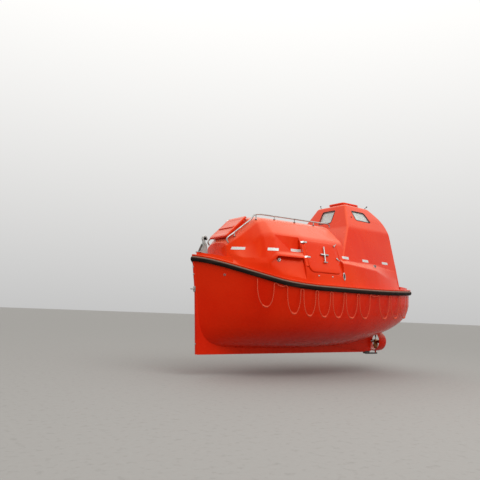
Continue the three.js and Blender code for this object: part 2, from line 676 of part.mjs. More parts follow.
function fitOpenings(body) {
  const { lowZ, highZ } = POCKET;
  const pocketShape = [[doorY(lowZ), lowZ], [1300, lowZ], [1300, highZ + 130], [doorY(highZ), highZ]];
  const pocketRing = (x) => pocketShape.map(([y, z]) => new THREE.Vector3(x, y, z));
  const pocket = solid(loft([pocketRing(POCKET.aftX), pocketRing(POCKET.foreX)]));
  const doorway = doorSlab(doorOutline(DOOR.lip), -260, 60);
  const rise = HATCH.coaming;
  const low = HATCH.lowX - HATCH.inset;
  const high = HATCH.highX + HATCH.inset;
  const side = HATCH.half - HATCH.inset;
  const coaming = slopeSlab(low, high, side, -40, rise);
  const hatchway = slopeSlab(low - HATCH.rim, high + HATCH.rim, side - HATCH.rim, -200, rise + 40);
  const topRim = topBlock(LID.inset, -20, LID.coaming);
  const topWay = topBlock(LID.inset + LID.rim, -120, 90);
  const aftHalf = AFT_HATCH.half - AFT_HATCH.rim;
  const aftWay = block(-1500, -1900, -aftHalf, aftHalf,
    AFT_HATCH.lowZ + AFT_HATCH.rim, AFT_HATCH.highZ - AFT_HATCH.rim);
  return cut(
    join(cut(body, pocket, mirror(pocket)), coaming, topRim),
    doorway, mirror(doorway), hatchway, topWay, aftWay,
    faceWindow(FRONT_WINDOW, frontX, 0, -90, 40), faceWindow(BACK_WINDOW, backX, 0, -40, 90),
    flankWindow(0, -90, 40), mirror(flankWindow(0, -90, 40)),
  );
}

// Side door leaf: an outer plate over the rim and a plug in the opening
function doorBody() {
  const plate = doorSlab(doorOutline(0), SEAT, SEAT + DOOR_PLATE);
  const plug = doorSlab(doorOutline(DOOR.lip + 10), -DOOR_PLUG, SEAT + 4);
  return join(plate, plug);
}

// Lever handle: a boss on the door, a long lever and its foot
function doorHandleBody() {
  const { x, lowZ, midZ, highZ, lean, cross } = HANDLE;
  const out = SEAT + DOOR_PLATE;
  return join(
    bar(doorPoint(x, midZ, out + GAP), doorPoint(x, midZ, out + 34), 22),
    bar(doorPoint(x - lean, highZ, out + 26), doorPoint(x + lean, lowZ, out + 26), 11, 12),
    bar(doorPoint(x - 24, lowZ, out + 26), doorPoint(x + 62, lowZ, out + 26), 10, 12),
    bar(doorPoint(x - cross, midZ, out + 20), doorPoint(x + cross, midZ, out + 20), 15, 12),
  );
}

function foreHatchBody() {
  const base = HATCH.coaming + SEAT;
  const top = base + HATCH.plate;
  const lid = slopeSlab(HATCH.lowX + HATCH_OVER, HATCH.highX - HATCH_OVER, HATCH.half + 8, base, top);
  const rib = slopeSlab(HATCH.lowX - 150, HATCH.lowX - 185, HATCH.half - 30, top - 4, top + 12);
  return join(lid, rib);
}

function towerLidBody() {
  const z = TOWER_TOP.z + LID.coaming + SEAT;
  const top = z + LID.plate;
  const plate = block(LID.foreX, LID.aftX, -LID.half, LID.half, z, top);
  const gripX = LID.foreX - 122;
  const grip = join(
    bar([gripX, -60, top - 4], [gripX, -60, top + 26], 7, 10),
    bar([gripX, 60, top - 4], [gripX, 60, top + 26], 7, 10),
    bar([gripX, -60, top + 24], [gripX, 60, top + 24], 7, 10),
  );
  return join(plate, grip);
}

// Lid over the hatch in the tower's aft face
function aftHatchBody() {
  const a = AFT_HATCH;
  const ring = (d) => [[a.lowZ, a.half], [a.lowZ, -a.half], [a.highZ, -a.half], [a.highZ, a.half]]
    .map(([z, y]) => new THREE.Vector3(backX(z) - d, y, z));
  const grow = a.rim + 10;
  const inner = (d) => [
    [a.lowZ + grow, a.half - grow], [a.lowZ + grow, -a.half + grow],
    [a.highZ - grow, -a.half + grow], [a.highZ - grow, a.half - grow],
  ].map(([z, y]) => new THREE.Vector3(backX(z) - d, y, z));
  return join(solid(loft([ring(SEAT), ring(SEAT + a.plate)])), solid(loft([inner(-38), inner(5)])));
}

// Hinge strips: a barrel on the turning axis and the leaf screwed to the body beside it
function doorHingeBody() {
  const x = DOOR.foreX + HINGE.beside;
  const out = SEAT + DOOR_PLATE;
  const ring = (z) => [[x - 3, out - 3], [x + 3, out + 3], [x + 44, GAP + 5], [x + 44, GAP], [x + 12, GAP]]
    .map(([px, d]) => new THREE.Vector3(...doorPoint(px, z, d)));
  const leaf = solid(loft([ring(HINGE.lowZ), ring(HINGE.highZ)]));
  return join(leaf, bar(doorPoint(x, HINGE.lowZ, out), doorPoint(x, HINGE.highZ, out), HINGE.barrel, 12));
}

// Hinge strip across the boat from its barrel to a foot on the body
function lidHingeBody(pin, foot, half) {
  const run = new THREE.Vector2(foot.x - pin.x, foot.z - pin.z).normalize();
  const side = [-run.y * HINGE.leaf, run.x * HINGE.leaf];
  const leaf = hullOf([-half, half].flatMap((y) => [pin, foot].flatMap((p) => [
    [p.x - side[0], y, p.z - side[1]], [p.x + side[0], y, p.z + side[1]],
  ])));
  return join(leaf, bar([pin.x, -half, pin.z], [pin.x, half, pin.z], HINGE.barrel, 12));
}

// Window panes lie in the wall's thickness with a small gap to its edge
const PANE_OUTER = PANE.thick - PANE.depth;
const paneFront = () => faceWindow(FRONT_WINDOW, frontX, -GAP, -PANE.depth, PANE_OUTER);
const paneBack = () => faceWindow(BACK_WINDOW, backX, -GAP, -PANE_OUTER, PANE.depth);
const panePort = () => flankWindow(-GAP, -PANE.depth, PANE_OUTER);

// Steering nozzle: a ring of foil section with its boss, pintle and stock
function nozzleBody() {
  const half = NOZZLE.length / 2;
  const profile = [
    [NOZZLE.inner, -half + 8], [NOZZLE.inner + 9, -half], [NOZZLE.outer - 4, -half + 12],
    [NOZZLE.outer, half * 0.3], [NOZZLE.outer - 4, half - 24], [NOZZLE.inner + 14, half],
    [NOZZLE.inner + 4, half - 8], [NOZZLE.inner, half * 0.4], [NOZZLE.inner, -half + 8],
  ].map(([r, h]) => new THREE.Vector2(r, h));
  const ring = new THREE.LatheGeometry(profile, 40);
  ring.rotateZ(-Math.PI / 2);
  ring.translate(NOZZLE.x, 0, SHAFT_Z);
  const outer = SHAFT_Z + NOZZLE.outer;
  return join(
    solid(ring),
    bar([NOZZLE.x, 0, outer - 8], [NOZZLE.x, 0, outer + 20], 42, 20),
    bar([NOZZLE.x, 0, SHAFT_Z - NOZZLE.outer + 8], [NOZZLE.x, 0, HEEL.footTop - 14], PINTLE_RADIUS, 16),
  );
}

function stockBody() {
  const low = SHAFT_Z + NOZZLE.outer + 20 + GAP;
  return join(
    bar([NOZZLE.x, 0, low], [NOZZLE.x, 0, 790], STOCK_RADIUS, 20),
    block(NOZZLE.x - 30, NOZZLE.x + 230, -14, 14, 730, 756),
  );
}

// Heel bracket: a block let into the keel's end and a foot that carries the nozzle's pintle
function heelBody() {
  const { half, footTop, footLow } = HEEL;
  const fore = HEEL.fore - GAP;
  const head = block(fore, SKEG_END + 30, -half, half, footTop - 14, HEEL.rebate - GAP);
  const foot = block(fore - 60, NOZZLE.x - 34, -half, half, footLow, footTop);
  const bore = bar([NOZZLE.x, 0, footLow - 18], [NOZZLE.x, 0, 10], PINTLE_RADIUS + 1.5, 16);
  return cut(join(foot, head), bore);
}

// Propeller: hub, cap and twisted blades about the shaft line
function propellerBody() {
  const half = PROP.hubLength / 2;
  const hub = bar([NOZZLE.x + half, 0, 0], [NOZZLE.x - half, 0, 0], PROP.hub, 24);
  const cap = solid(new THREE.ConeGeometry(PROP.hub * 0.9, 46, 24).rotateZ(Math.PI / 2)
    .translate(NOZZLE.x - PROP.hubLength / 2 - 22, 0, 0));
  const outline = new THREE.Shape([
    [-26, 20], [-46, 70], [-52, 110], [-34, 146], [0, PROP.radius],
    [34, 146], [52, 110], [46, 70], [26, 20],
  ].map(([a, b]) => new THREE.Vector2(a, b)));
  let body = join(hub, cap);
  for (let k = 0; k < PROP.blades; k += 1) {
    const blade = new THREE.ExtrudeGeometry(outline, { depth: PROP.thickness, bevelEnabled: false });
    blade.translate(0, 0, -PROP.thickness / 2);
    blade.rotateY(Math.PI / 2 - PROP.pitch);
    blade.rotateX((k * 2 * Math.PI) / PROP.blades);
    blade.translate(NOZZLE.x, 0, 0);
    body = join(body, solid(blade));
  }
  const bore = bar([NOZZLE.x + 80, 0, 0], [NOZZLE.x - 20, 0, 0], SHAFT_RADIUS + GAP, 20);
  return cut(body, bore).translate([0, 0, SHAFT_Z]);
}

const shaftBody = () => bar([SHAFT_END, 0, SHAFT_Z], [NOZZLE.x - 19, 0, SHAFT_Z], SHAFT_RADIUS, 20);

// Release hook stand: base plate along the deck and two cheeks
function hookMountBody(at) {
  const foot = (x, up) => [at.x + x, at.z + at.rise * x + up];
  const head = (x) => [at.x + x, at.z + at.pinUp + 25];
  const side = [foot(-88, 14), foot(58, 14), head(-58), head(-6)];
  const cheek = (y) => hullOf([y, y + 12].flatMap((across) => side.map(([x, z]) => [x, across, z])));
  const corners = [foot(-110, GAP), foot(-110, 15), foot(80, GAP), foot(80, 15)];
  const pin = { x: at.x - PIN.back, z: at.z + at.pinUp };
  return join(
    hullOf([-70, 70].flatMap((y) => corners.map(([x, z]) => [x, y, z]))),
    cheek(-PIN.half), cheek(PIN.half - 12),
    bar([pin.x, -PIN.half, pin.z], [pin.x, PIN.half, pin.z], PIN.radius, 16),
  );
}

// Hook: a flat forging with an open jaw, turning on the pin between the cheeks
function hookBody(at) {
  const outline = [
    [-28, -26], [20, -30], [30, 10], [26, 60], [44, 92], [40, 134], [4, 158], [-38, 146],
    [-58, 112], [-52, 78], [-34, 84], [-32, 108], [-14, 124], [8, 118], [14, 98], [-14, 60], [-30, 20],
  ].map(([x, z]) => [at.x - PIN.back + x, at.z + at.pinUp + z]);
  const shapeOf = new THREE.Shape(outline.map(([x, z]) => new THREE.Vector2(x, z)));
  const g = new THREE.ExtrudeGeometry(shapeOf, { depth: 34, bevelEnabled: false });
  g.rotateX(Math.PI / 2);
  g.translate(0, 17, 0);
  const pin = { x: at.x - PIN.back, z: at.z + at.pinUp };
  return cut(solid(g), bar([pin.x, -60, pin.z], [pin.x, 60, pin.z], PIN.radius + RUNNING, 16));
}

const RAIL_Y = 400;
const RAIL_POST = 9;

// Handrail: a bent tube up the slope and along the roof on short posts
function handrailBody() {
  const line = [
    [1950, 288, 1812], [1980, 290, 1868], [1850, 312, 1990], [1700, 350, 2124], [1575, 390, 2238],
    [1525, 400, 2310], [1440, 400, 2332], [1100, 400, 2344], [600, 400, 2354], [100, 400, 2361],
    [-150, 400, 2364], [-192, 400, 2346], [-198, 400, 2312],
  ].map((p) => new THREE.Vector3(...p));
  const path = new THREE.CatmullRomCurve3(line, false, 'centripetal');
  const rail = solid(tube(path.getPoints(48), () => 13, 8));
  const posts = [
    [1850, 312, 1990], [1490, RAIL_Y, 2320], [1100, RAIL_Y, 2344], [650, RAIL_Y, 2353], [200, RAIL_Y, 2359],
  ].map(([x, y, z]) => bar([x, y, z], [x, y, roofSeat(x, y) + GAP], RAIL_POST, 8));
  return join(rail, ...posts);
}

// Height of the roof's edge where a rail post stands
function roofSeat(x, y) {
  const back = x - RAIL_POST;
  const y0 = along(STATIONS, 'roofY', back) - 40;
  const u = (y - RAIL_POST - y0) / 80;
  return along(STATIONS, 'roofZ', back) + 12 - u * 46;
}

// Route of a lifeline: up over each fixing in a small bow, and down into a loop or along a link
function lifelineRoute() {
  const route = [];
  HELD.slice(0, -1).forEach((fore, i) => {
    const aft = HELD[i + 1];
    const from = fore - (i === 0 ? 0 : BOW_RADIUS);
    const to = aft + (i === HELD.length - 2 ? 0 : BOW_RADIUS);
    const deep = fore - aft > LINK_REACH;
    const steps = deep ? LOOP_STEPS : 2;
    for (let k = 0; k <= steps; k += 1) {
      const turn = (Math.PI * k) / steps;
      const x = (from + to) / 2 + (Math.cos(turn) * (from - to)) / 2;
      const hang = Math.sin(turn) ** LOOP_FULLNESS;
      route.push({ x, drop: BOW_RADIUS * 0.6 + (deep ? LOOP_DEPTH : LINK_DEPTH) * hang, deep, turn });
    }
    if (i < HELD.length - 2) route.push({ x: aft, drop: 0, deep: false, turn: 0 });
  });
  return route;
}

// Lifeline rope with a thicker float at the bottom of each loop
function lifelineBody() {
  const route = lifelineRoute();
  const low = (x) => Math.min(sheerZ(x), sheerZ(x - BOW_SAG)) - FENDER_HALF;
  const top = (x) => low(x) - GAP - ROPE_RADIUS;
  const points = route.map((p) => new THREE.Vector3(p.x, ropeY(p.x), top(p.x) - p.drop));
  const isFloat = (p) => p.deep && Math.abs(p.turn - Math.PI / 2) < FLOAT_TURN;
  return solid(tube(points, (i) => (isFloat(route[i]) ? FLOAT_RADIUS : ROPE_RADIUS), 8));
}

// Distance of the rope from the centre plane
const ropeY = (x) => sideY(x) + FLOAT_RADIUS + 8;

// Towing eye on the stem
const EYE_Z = 1040;
function towingEyeBody() {
  const face = (z) => atHeight(STEM, 'x', z) + SEAT;
  const corner = (z, out) => [[face(z) + out, -24, z], [face(z) + out, 24, z]];
  const low = EYE_Z - 45;
  const high = EYE_Z + 45;
  const pad = hullOf([...corner(low, 0), ...corner(high, 0), ...corner(low, 12), ...corner(high, 12)]);
  const ring = solid(new THREE.TorusGeometry(30, 8, 8, 18).rotateX(Math.PI / 2)
    .translate(face(EYE_Z) + 38, 0, EYE_Z));
  return join(pad, ring);
}

// Short lamp rods on the tower's shoulders
function lampBody(x, y, leanX, height) {
  const radius = 7;
  const lean = Math.atan2(Math.abs(leanX), height * 0.8);
  const z = TOWER_TOP.z + GAP + radius * Math.sin(lean);
  return join(
    bar([x, y, z], [x + leanX, y, z + height * 0.8], radius, 10),
    bar([x + leanX * 0.85, y, z + height * 0.68], [x + leanX * 1.25, y, z + height], 13, 12),
  );
}

// Cabin fittings
function benchBody() {
  const { innerY, outerY, topZ, board } = BENCH;
  return join(
    block(-980, 1080, innerY, outerY, topZ - board, topZ),
    block(-560, 940, innerY, innerY + 30, SOLE_Z + GAP, topZ - board / 2),
  );
}
const engineBody = () => block(-1190, -620, -230, 230, SOLE_Z + GAP, ENGINE_TOP);
function seatBody() {
  return join(
    block(-1130, -960, -60, 60, ENGINE_TOP + GAP, 1440),
    block(-1240, -880, -210, 210, 1430, 1500),
    block(-1270, -1220, -200, 200, 1460, 1900),
  );
}
function consoleBody() {
  const side = [[-660, 1690], [-400, 1690], [-640, 1760], [-400, 1900]];
  const desk = hullOf([-220, 220].flatMap((y) => side.map(([x, z]) => [x, y, z])));
  const bore = bar([-660, 0, WHEEL.z], [WHEEL.hubEnd + 5, 0, WHEEL.z], WHEEL.hubRadius + RUNNING, 20);
  return cut(join(block(-560, -440, -140, 140, SOLE_Z + GAP, 1700), desk), bore);
}
function wheelBody() {
  const rim = new THREE.TorusGeometry(WHEEL.radius, 12, 8, 28).rotateY(Math.PI / 2)
    .translate(WHEEL.x, 0, WHEEL.z);
  const hub = bar([WHEEL.x - 20, 0, WHEEL.z], [WHEEL.hubEnd, 0, WHEEL.z], WHEEL.hubRadius, 20);
  let body = join(solid(rim), hub);
  for (let k = 0; k < 3; k += 1) {
    const a = Math.PI / 2 + (k * 2 * Math.PI) / 3;
    const y = WHEEL.radius * Math.cos(a);
    const z = WHEEL.z + WHEEL.radius * Math.sin(a);
    body = join(body, bar([WHEEL.x, 0, WHEEL.z], [WHEEL.x, y, z], 8, 8));
  }
  return body;
}

const boat = new THREE.Group();
boat.name = 'enclosed_lifeboat';

function add(name, body, material) {
  const mesh = new THREE.Mesh(shape(body), material);
  mesh.name = name;
  boat.add(mesh);
}

const hullPaint = orange(0.22);
const canopyPaint = orange(0.25);
add('hull_shell', hullBody(), hullPaint);
add('gunwale_fender', fenderBody(), rubber);
add('canopy_shell', canopyBody(), canopyPaint);
add('side_door_port', doorBody(), canopyPaint);
add('side_door_starboard', mirror(doorBody()), canopyPaint);
add('door_handle_port', doorHandleBody(), steel);
add('door_handle_starboard', mirror(doorHandleBody()), steel);
const lidX = HATCH.highX - HATCH_OVER;
const foreFootX = SLOPE.highX - 10;
const foreHinge = lidHingeBody(
  slopePoint(lidX, HINGE_OFF, HATCH.coaming + SEAT),
  { x: foreFootX, z: ridgeAt(foreFootX) + HINGE.leaf + GAP }, HINGE.half);
const lidBase = TOWER_TOP.z + LID.coaming + SEAT;
const lidPin = LID.aftX - HINGE_OFF;
const topLeaf = HINGE.leaf * Math.cos(Math.atan2(LID.coaming, HINGE.reach));
const towerHinge = lidHingeBody(
  { x: lidPin, z: lidBase },
  { x: lidPin - HINGE.reach, z: TOWER_TOP.z + topLeaf + GAP }, HINGE.half);
const hatchTop = AFT_HATCH.highZ + HINGE_OFF;
const aftHinge = lidHingeBody(
  { x: backX(hatchTop) - SEAT - AFT_HATCH.plate, z: hatchTop },
  { x: backX(hatchTop + HINGE.reach) - HINGE.leaf - GAP, z: hatchTop + HINGE.reach }, HINGE.half);
add('door_hinge_port', doorHingeBody(), steel);
add('door_hinge_starboard', mirror(doorHingeBody()), steel);
add('fore_hatch_hinge', foreHinge, steel);
add('tower_hatch_hinge', towerHinge, steel);
add('aft_hatch_hinge', aftHinge, steel);
add('fore_hatch_lid', foreHatchBody(), canopyPaint);
add('tower_hatch_lid', towerLidBody(), canopyPaint);
add('aft_hatch_lid', aftHatchBody(), canopyPaint);
add('window_front', paneFront(), clear);
add('window_aft', paneBack(), clear);
add('window_port', panePort(), clear);
add('window_starboard', mirror(panePort()), clear);
add('steering_nozzle', nozzleBody(), hullPaint);
add('nozzle_stock', stockBody(), steel);
add('heel_bracket', heelBody(), darkPaint);
add('propeller', propellerBody(), bronze);
add('propeller_shaft', shaftBody(), steel);
add('hook_stand_fore', hookMountBody(HOOK_FORE), galvanised);
add('hook_stand_aft', hookMountBody(HOOK_AFT), galvanised);
add('release_hook_fore', hookBody(HOOK_FORE), steel);
add('release_hook_aft', hookBody(HOOK_AFT), steel);
add('handrail_port', handrailBody(), steel);
add('handrail_starboard', mirror(handrailBody()), steel);
add('lifeline_port', lifelineBody(), ropeOrange);
add('lifeline_starboard', mirror(lifelineBody()), ropeOrange);
add('towing_eye', towingEyeBody(), steel);
add('lamp_rod_fore', lampBody(-664, -312, 18, 62), darkPaint);
add('lamp_rod_aft', lampBody(-1256, 292, -52, 96), darkPaint);
add('bench_port', benchBody(), cabinWhite);
add('bench_starboard', mirror(benchBody()), cabinWhite);
add('engine_block', engineBody(), engineGrey);
add('helm_seat', seatBody(), darkPaint);
add('helm_console', consoleBody(), cabinWhite);
add('steering_wheel', wheelBody(), darkPaint);

boat.position.z = -WATERLINE;
export default boat;
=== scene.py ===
# %% [markdown]
# # A totally enclosed lifeboat, dressed for a photograph
# The boat hangs clear of the ground, seen from ahead on its port side and a little from below.
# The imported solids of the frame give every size. They are plain and faceted, so most outside
# pieces are drawn again here as finer surfaces over the same tables, and the rest keep their mesh
# and get a better finish.

# %% Load the frame
import math
import bmesh
import bpy
import numpy as np
from mathutils import Matrix, Vector


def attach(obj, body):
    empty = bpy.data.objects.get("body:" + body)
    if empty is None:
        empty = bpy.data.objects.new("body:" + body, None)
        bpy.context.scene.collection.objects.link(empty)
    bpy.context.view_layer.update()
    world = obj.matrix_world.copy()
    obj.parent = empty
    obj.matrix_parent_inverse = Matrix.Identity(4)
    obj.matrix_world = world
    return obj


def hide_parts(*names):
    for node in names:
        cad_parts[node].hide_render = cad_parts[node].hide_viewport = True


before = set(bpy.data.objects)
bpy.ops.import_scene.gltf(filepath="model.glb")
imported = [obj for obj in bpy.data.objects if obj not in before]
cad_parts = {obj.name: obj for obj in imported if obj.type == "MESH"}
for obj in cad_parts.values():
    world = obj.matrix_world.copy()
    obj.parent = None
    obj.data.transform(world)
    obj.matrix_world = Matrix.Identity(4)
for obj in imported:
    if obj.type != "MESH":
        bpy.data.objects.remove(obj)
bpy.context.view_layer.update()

# %% [markdown]
# The camera comes first, because a photograph and a render line up only through one camera.
# It could be placed by eye. Here it was fitted to the boat's own vanishing lines, so its place, its
# lens and its slight roll are plain numbers: ten metres off, just above the waterline's height.

# %% Camera
CAMERA_PLACE = Vector((6.663, 7.376, 0.059))
VIEW_DIRECTION = Vector((-0.570, -0.815, 0.106)).normalized()
CAMERA_ROLL = math.radians(2.2)
FOCAL_PIXELS, FRAME_PIXELS, AXIS_DROP = 530.0, 480.0, 15.0

lens = bpy.data.cameras.new("photo_camera")
lens.sensor_width = 36.0
lens.lens = FOCAL_PIXELS / FRAME_PIXELS * lens.sensor_width
lens.shift_y = AXIS_DROP / FRAME_PIXELS
lens.clip_start, lens.clip_end = 0.1, 300.0
camera = bpy.data.objects.new("photo_camera", lens)
bpy.context.scene.collection.objects.link(camera)
aim = VIEW_DIRECTION.to_track_quat("-Z", "Y").to_matrix().to_4x4()
camera.matrix_world = Matrix.Translation(CAMERA_PLACE) @ aim @ Matrix.Rotation(CAMERA_ROLL, 4, "Z")
bpy.context.scene.camera = camera
print("lens", round(lens.lens, 2), "mm")

# %% [markdown]
# Every surface below is worked out as a whole array of points and put into a mesh in one go. Three
# small helpers do that: one turns points and faces into an object, one lays faces between rows of
# points, and one turns a mesh right side out by the sign of its volume. A loop over single points
# would give the same mesh, only slower and longer to read.

# %% Helpers that turn arrays into meshes
WATERLINE = 650.0
SIDES = ((1, "port"), (-1, "starboard"))


def drawn(points):
    """Millimetres above the keel to metres in the frame: divide by a thousand, after the waterline's
    height is taken from z."""
    return (np.asarray(points, float) - (0, 0, WATERLINE)) / 1000


def signed_volume(points, triangles):
    """Sum over the triangles of the corners' triple product, over six."""
    a, b, c = (points[triangles[:, k]] for k in range(3))
    return float(np.einsum("ij,ij->i", a, np.cross(b, c)).sum() / 6)


def make_mesh(name, points, quads, triangles=None):
    """One closed mesh of quads and triangles, turned so that its volume is positive."""
    quads = np.asarray(quads, int).reshape(-1, 4)
    extra = np.asarray([] if triangles is None else triangles, int).reshape(-1, 3)
    split = np.vstack([quads[:, [0, 1, 2]], quads[:, [0, 2, 3]], extra])
    if signed_volume(points, split) < 0:
        quads, extra = quads[:, ::-1], extra[:, ::-1]
    mesh = bpy.data.meshes.new(name)
    mesh.from_pydata(points.tolist(), [], quads.tolist() + extra.tolist())
    mesh.update()
    thing = bpy.data.objects.new(name, mesh)
    bpy.context.scene.collection.objects.link(thing)
    return thing


def grid_faces(rows, columns, ring=True, loop=False):
    """Quads between neighbouring points of a grid, closed across the columns and along the rows
    where asked."""
    r = np.arange(rows if loop else rows - 1)[:, None]
    c = np.arange(columns if ring else columns - 1)[None, :]
    right, up = (c + 1) % columns, (r + 1) % rows
    return np.stack([r * columns + c, r * columns + right, up * columns + right, up * columns + c],
                    axis=-1).reshape(-1, 4)


def loft(name, rings):
    """Skin over rings of equal count, each end closed by triangles to the ring's mean point."""
    rows, columns = rings.shape[:2]
    points = np.vstack([rings.reshape(-1, 3), rings[0].mean(0), rings[-1].mean(0)])
    c = np.arange(columns)
    after = (c + 1) % columns
    low, high = rows * columns, rows * columns + 1
    top = (rows - 1) * columns
    caps = np.vstack([np.stack([np.full(columns, low), after, c], 1),
                      np.stack([np.full(columns, high), top + c, top + after], 1)])
    return make_mesh(name, points, grid_faces(rows, columns), caps)


def torus_loft(name, rings):
    """Skin over rings that meet again at the first one."""
    rows, columns = rings.shape[:2]
    return make_mesh(name, rings.reshape(-1, 3), grid_faces(rows, columns, loop=True))


print("drawings start at the keel,", WATERLINE, "mm under the frame's origin")


# %% Tables and curves
def spread(values, x, key):
    """Straight interpolation of one named column of a table."""
    return np.interp(x, values["x"], values[key])


def table(names, rows):
    """Named columns out of rows of numbers, in rising order of the first name."""
    data = np.array(sorted(rows), float)
    return {name: data[:, k] for k, name in enumerate(names.split())}


def curve(xs, ys, x):
    """Smooth curve through points: cubic pieces whose slope at each point is that of the parabola
    through its neighbours."""
    slope = np.gradient(ys, xs)
    k = np.clip(np.searchsorted(xs, x) - 1, 0, len(xs) - 2)
    h = xs[k + 1] - xs[k]
    u = np.clip((x - xs[k]) / h, 0, 1)
    return ((2 * u**3 - 3 * u**2 + 1) * ys[k] + (u**3 - 2 * u**2 + u) * h * slope[k]
            + (3 * u**2 - 2 * u**3) * ys[k + 1] + (u**3 - u**2) * h * slope[k + 1])


sample = curve(np.array([0.0, 1.0, 2.0]), np.array([0.0, 1.0, 4.0]), np.array(0.5))
print("halfway from 0 to 1, with 4 next, a curve is at", round(float(sample), 3))

# %% [markdown]
# The sheer line is the sweep of the gunwale seen from the side. The hull, the fender, the flange and
# the lifelines all follow it, so it comes before them. In plan the boat is a rounded outline that
# comes to a point at the stem. Both are short formulas on a table of measured heights.

# %% The sheer line and the plan outline
BEAM_HALF, WIDEST_X, BOW_X, STERN_X = 1100.0, 200.0, 2412.0, -2500.0
BOW_FULL, STERN_FULL = 2.8, 2.5
BOW_SHRINK, ANGLE_STEP = 1.28, 0.012
SHEER = table("x z", [
    (-2600, 1232), (-2000, 1186), (-1400, 1155), (-800, 1137), (-200, 1132), (400, 1134),
    (800, 1141), (1100, 1164), (1300, 1194), (1500, 1245), (1700, 1304), (1900, 1369),
    (2100, 1440), (2250, 1489), (2400, 1524), (2520, 1540),
])
HULL_TOP_RISE, FLANGE_THICKNESS, FLANGE_OUT, FLANGE_IN = 44.0, 25.0, 34.0, 58.0
FENDER_OUT, FENDER_HALF, GAP = 52.0, 40.0, 0.3


def sheer_z(x):
    """Height of the sheer line at a distance along the boat."""
    return curve(SHEER["x"], SHEER["z"], x)


def outline(half, bow, stern, bow_full, stern_full, t):
    """Plan outline by angle: towards the bow x is the cosine to the power two over the fullness, and
    y the square of the sine; towards the stern both have the power two over the fullness."""
    c, s = np.cos(t), np.sin(t)
    fore = c >= 0
    full = np.where(fore, bow_full, stern_full)
    reach = np.where(fore, bow - WIDEST_X, stern - WIDEST_X)
    x = WIDEST_X + reach * np.abs(c) ** (2 / full)
    y = np.sign(s) * half * np.abs(s) ** np.where(fore, 2.0, 2 / full)
    return x, np.where(np.abs(s) < 1e-9, 0.0, y)


def side_y(x):
    """Half breadth of the gunwale at a distance along the boat."""
    fore = x >= WIDEST_X
    u = np.abs(x - WIDEST_X) / np.where(fore, BOW_X - WIDEST_X, WIDEST_X - STERN_X)
    left = 1 - np.clip(u, 0, 1) ** np.where(fore, BOW_FULL, STERN_FULL)
    return BEAM_HALF * left ** np.where(fore, 1.0, 1 / STERN_FULL)


def gunwale_outline(angles, half=BEAM_HALF, bow=BOW_X, stern=STERN_X):
    """The plan outline with the gunwale's own fullness."""
    return outline(half, bow, stern, BOW_FULL, STERN_FULL, angles)


def even_angles(count):
    """Angles that put equal lengths of the gunwale between neighbouring points."""
    fine = np.linspace(0, 2 * np.pi, 8001)
    x, y = gunwale_outline(fine)
    run = np.concatenate([[0], np.cumsum(np.hypot(np.diff(x), np.diff(y)))])
    return np.interp(np.linspace(0, run[-1], count, endpoint=False), run, fine)


def sheer_ring(out, up, angles, level=None):
    """The gunwale's outline moved out and up. Outwards it moves square to itself; inwards the outline
    is drawn again, smaller. With a level the ring lies flat at that height."""
    if out <= 0:
        base_x, _ = gunwale_outline(angles)
        x, y = gunwale_outline(angles, BEAM_HALF + out, BOW_X + BOW_SHRINK * out, STERN_X - out)
    else:
        base_x, base_y = gunwale_outline(angles)
        ax, ay = gunwale_outline(angles - ANGLE_STEP)
        bx, by = gunwale_outline(angles + ANGLE_STEP)
        length = np.hypot(bx - ax, by - ay)
        x, y = base_x + (by - ay) / length * out, base_y - (bx - ax) / length * out
    z = sheer_z(base_x) + up if level is None else np.full_like(x, level)
    return drawn(np.stack([x, y, z], -1))


bow_rise = float(sheer_z(np.array(BOW_X)) - sheer_z(np.array(0.0)))
print("gunwale rises", round(bow_rise), "mm to the bow")

# %% [markdown]
# The lifelines hang under the fender in loops, for a swimmer to hold. They are limp ropes of a fixed
# length, held at thirteen points a side, so each is a tube along one line of points. A curve with a
# bevel would do as well, but a mesh tube lets the rope carry its own twist pattern along its length.

# %% Lifeline route
HELD = np.array([1685, 1430, 1280, 1008, 730, 423, 113, -218, -550, -767, -1130, -1495, -1860],
                float)
ROPE_RADIUS, FLOAT_RADIUS, FLOAT_LIP, BOW_RADIUS, HULL_CLEAR = 6.0, 15.0, 0.6, 26.0, 8.0
SPLAY, FLOAT_TURN, FLOAT_FULLNESS = 14, 0.5, 0.25
LOOP_DEPTH, LOOP_FULLNESS, LINK_REACH, LINK_DEPTH = 400.0, 0.72, 240.0, 10.0


def lifeline_route(steps=24):
    """Over each fixing in a small bow, and between two fixings down by the depth times the sine of
    the turn to a power below one, which gives a full loop with nearly upright sides."""
    spans = []
    for i, (fore, aft) in enumerate(zip(HELD[:-1], HELD[1:])):
        start = fore - (0 if i == 0 else BOW_RADIUS)
        end = aft + (0 if i == len(HELD) - 2 else BOW_RADIUS)
        deep = fore - aft > LINK_REACH
        turn = np.linspace(0, np.pi, (steps if deep else 4) + 1)
        x = (start + end) / 2 + np.cos(turn) * (start - end) / 2
        hang = np.clip(np.sin(turn), 0, 1) ** LOOP_FULLNESS
        drop = BOW_RADIUS * 0.6 + (LOOP_DEPTH if deep else LINK_DEPTH) * hang
        spans.append(np.stack([x, drop, np.full_like(x, deep), turn], -1))
        if i < len(HELD) - 2:
            spans.append([[aft, 0.0, 0.0, 0.0]])
    return np.vstack(spans)


def lifeline_points(side, route):
    """Points of the rope: just outside the hull, and as far below the fender as the route says."""
    x, drop = route[:, 0], route[:, 1]
    low = np.minimum(sheer_z(x), sheer_z(x - SPLAY)) - FENDER_HALF - GAP - ROPE_RADIUS
    y = side * (side_y(x) + FLOAT_RADIUS + HULL_CLEAR)
    return drawn(np.stack([x, y, low - drop], -1))


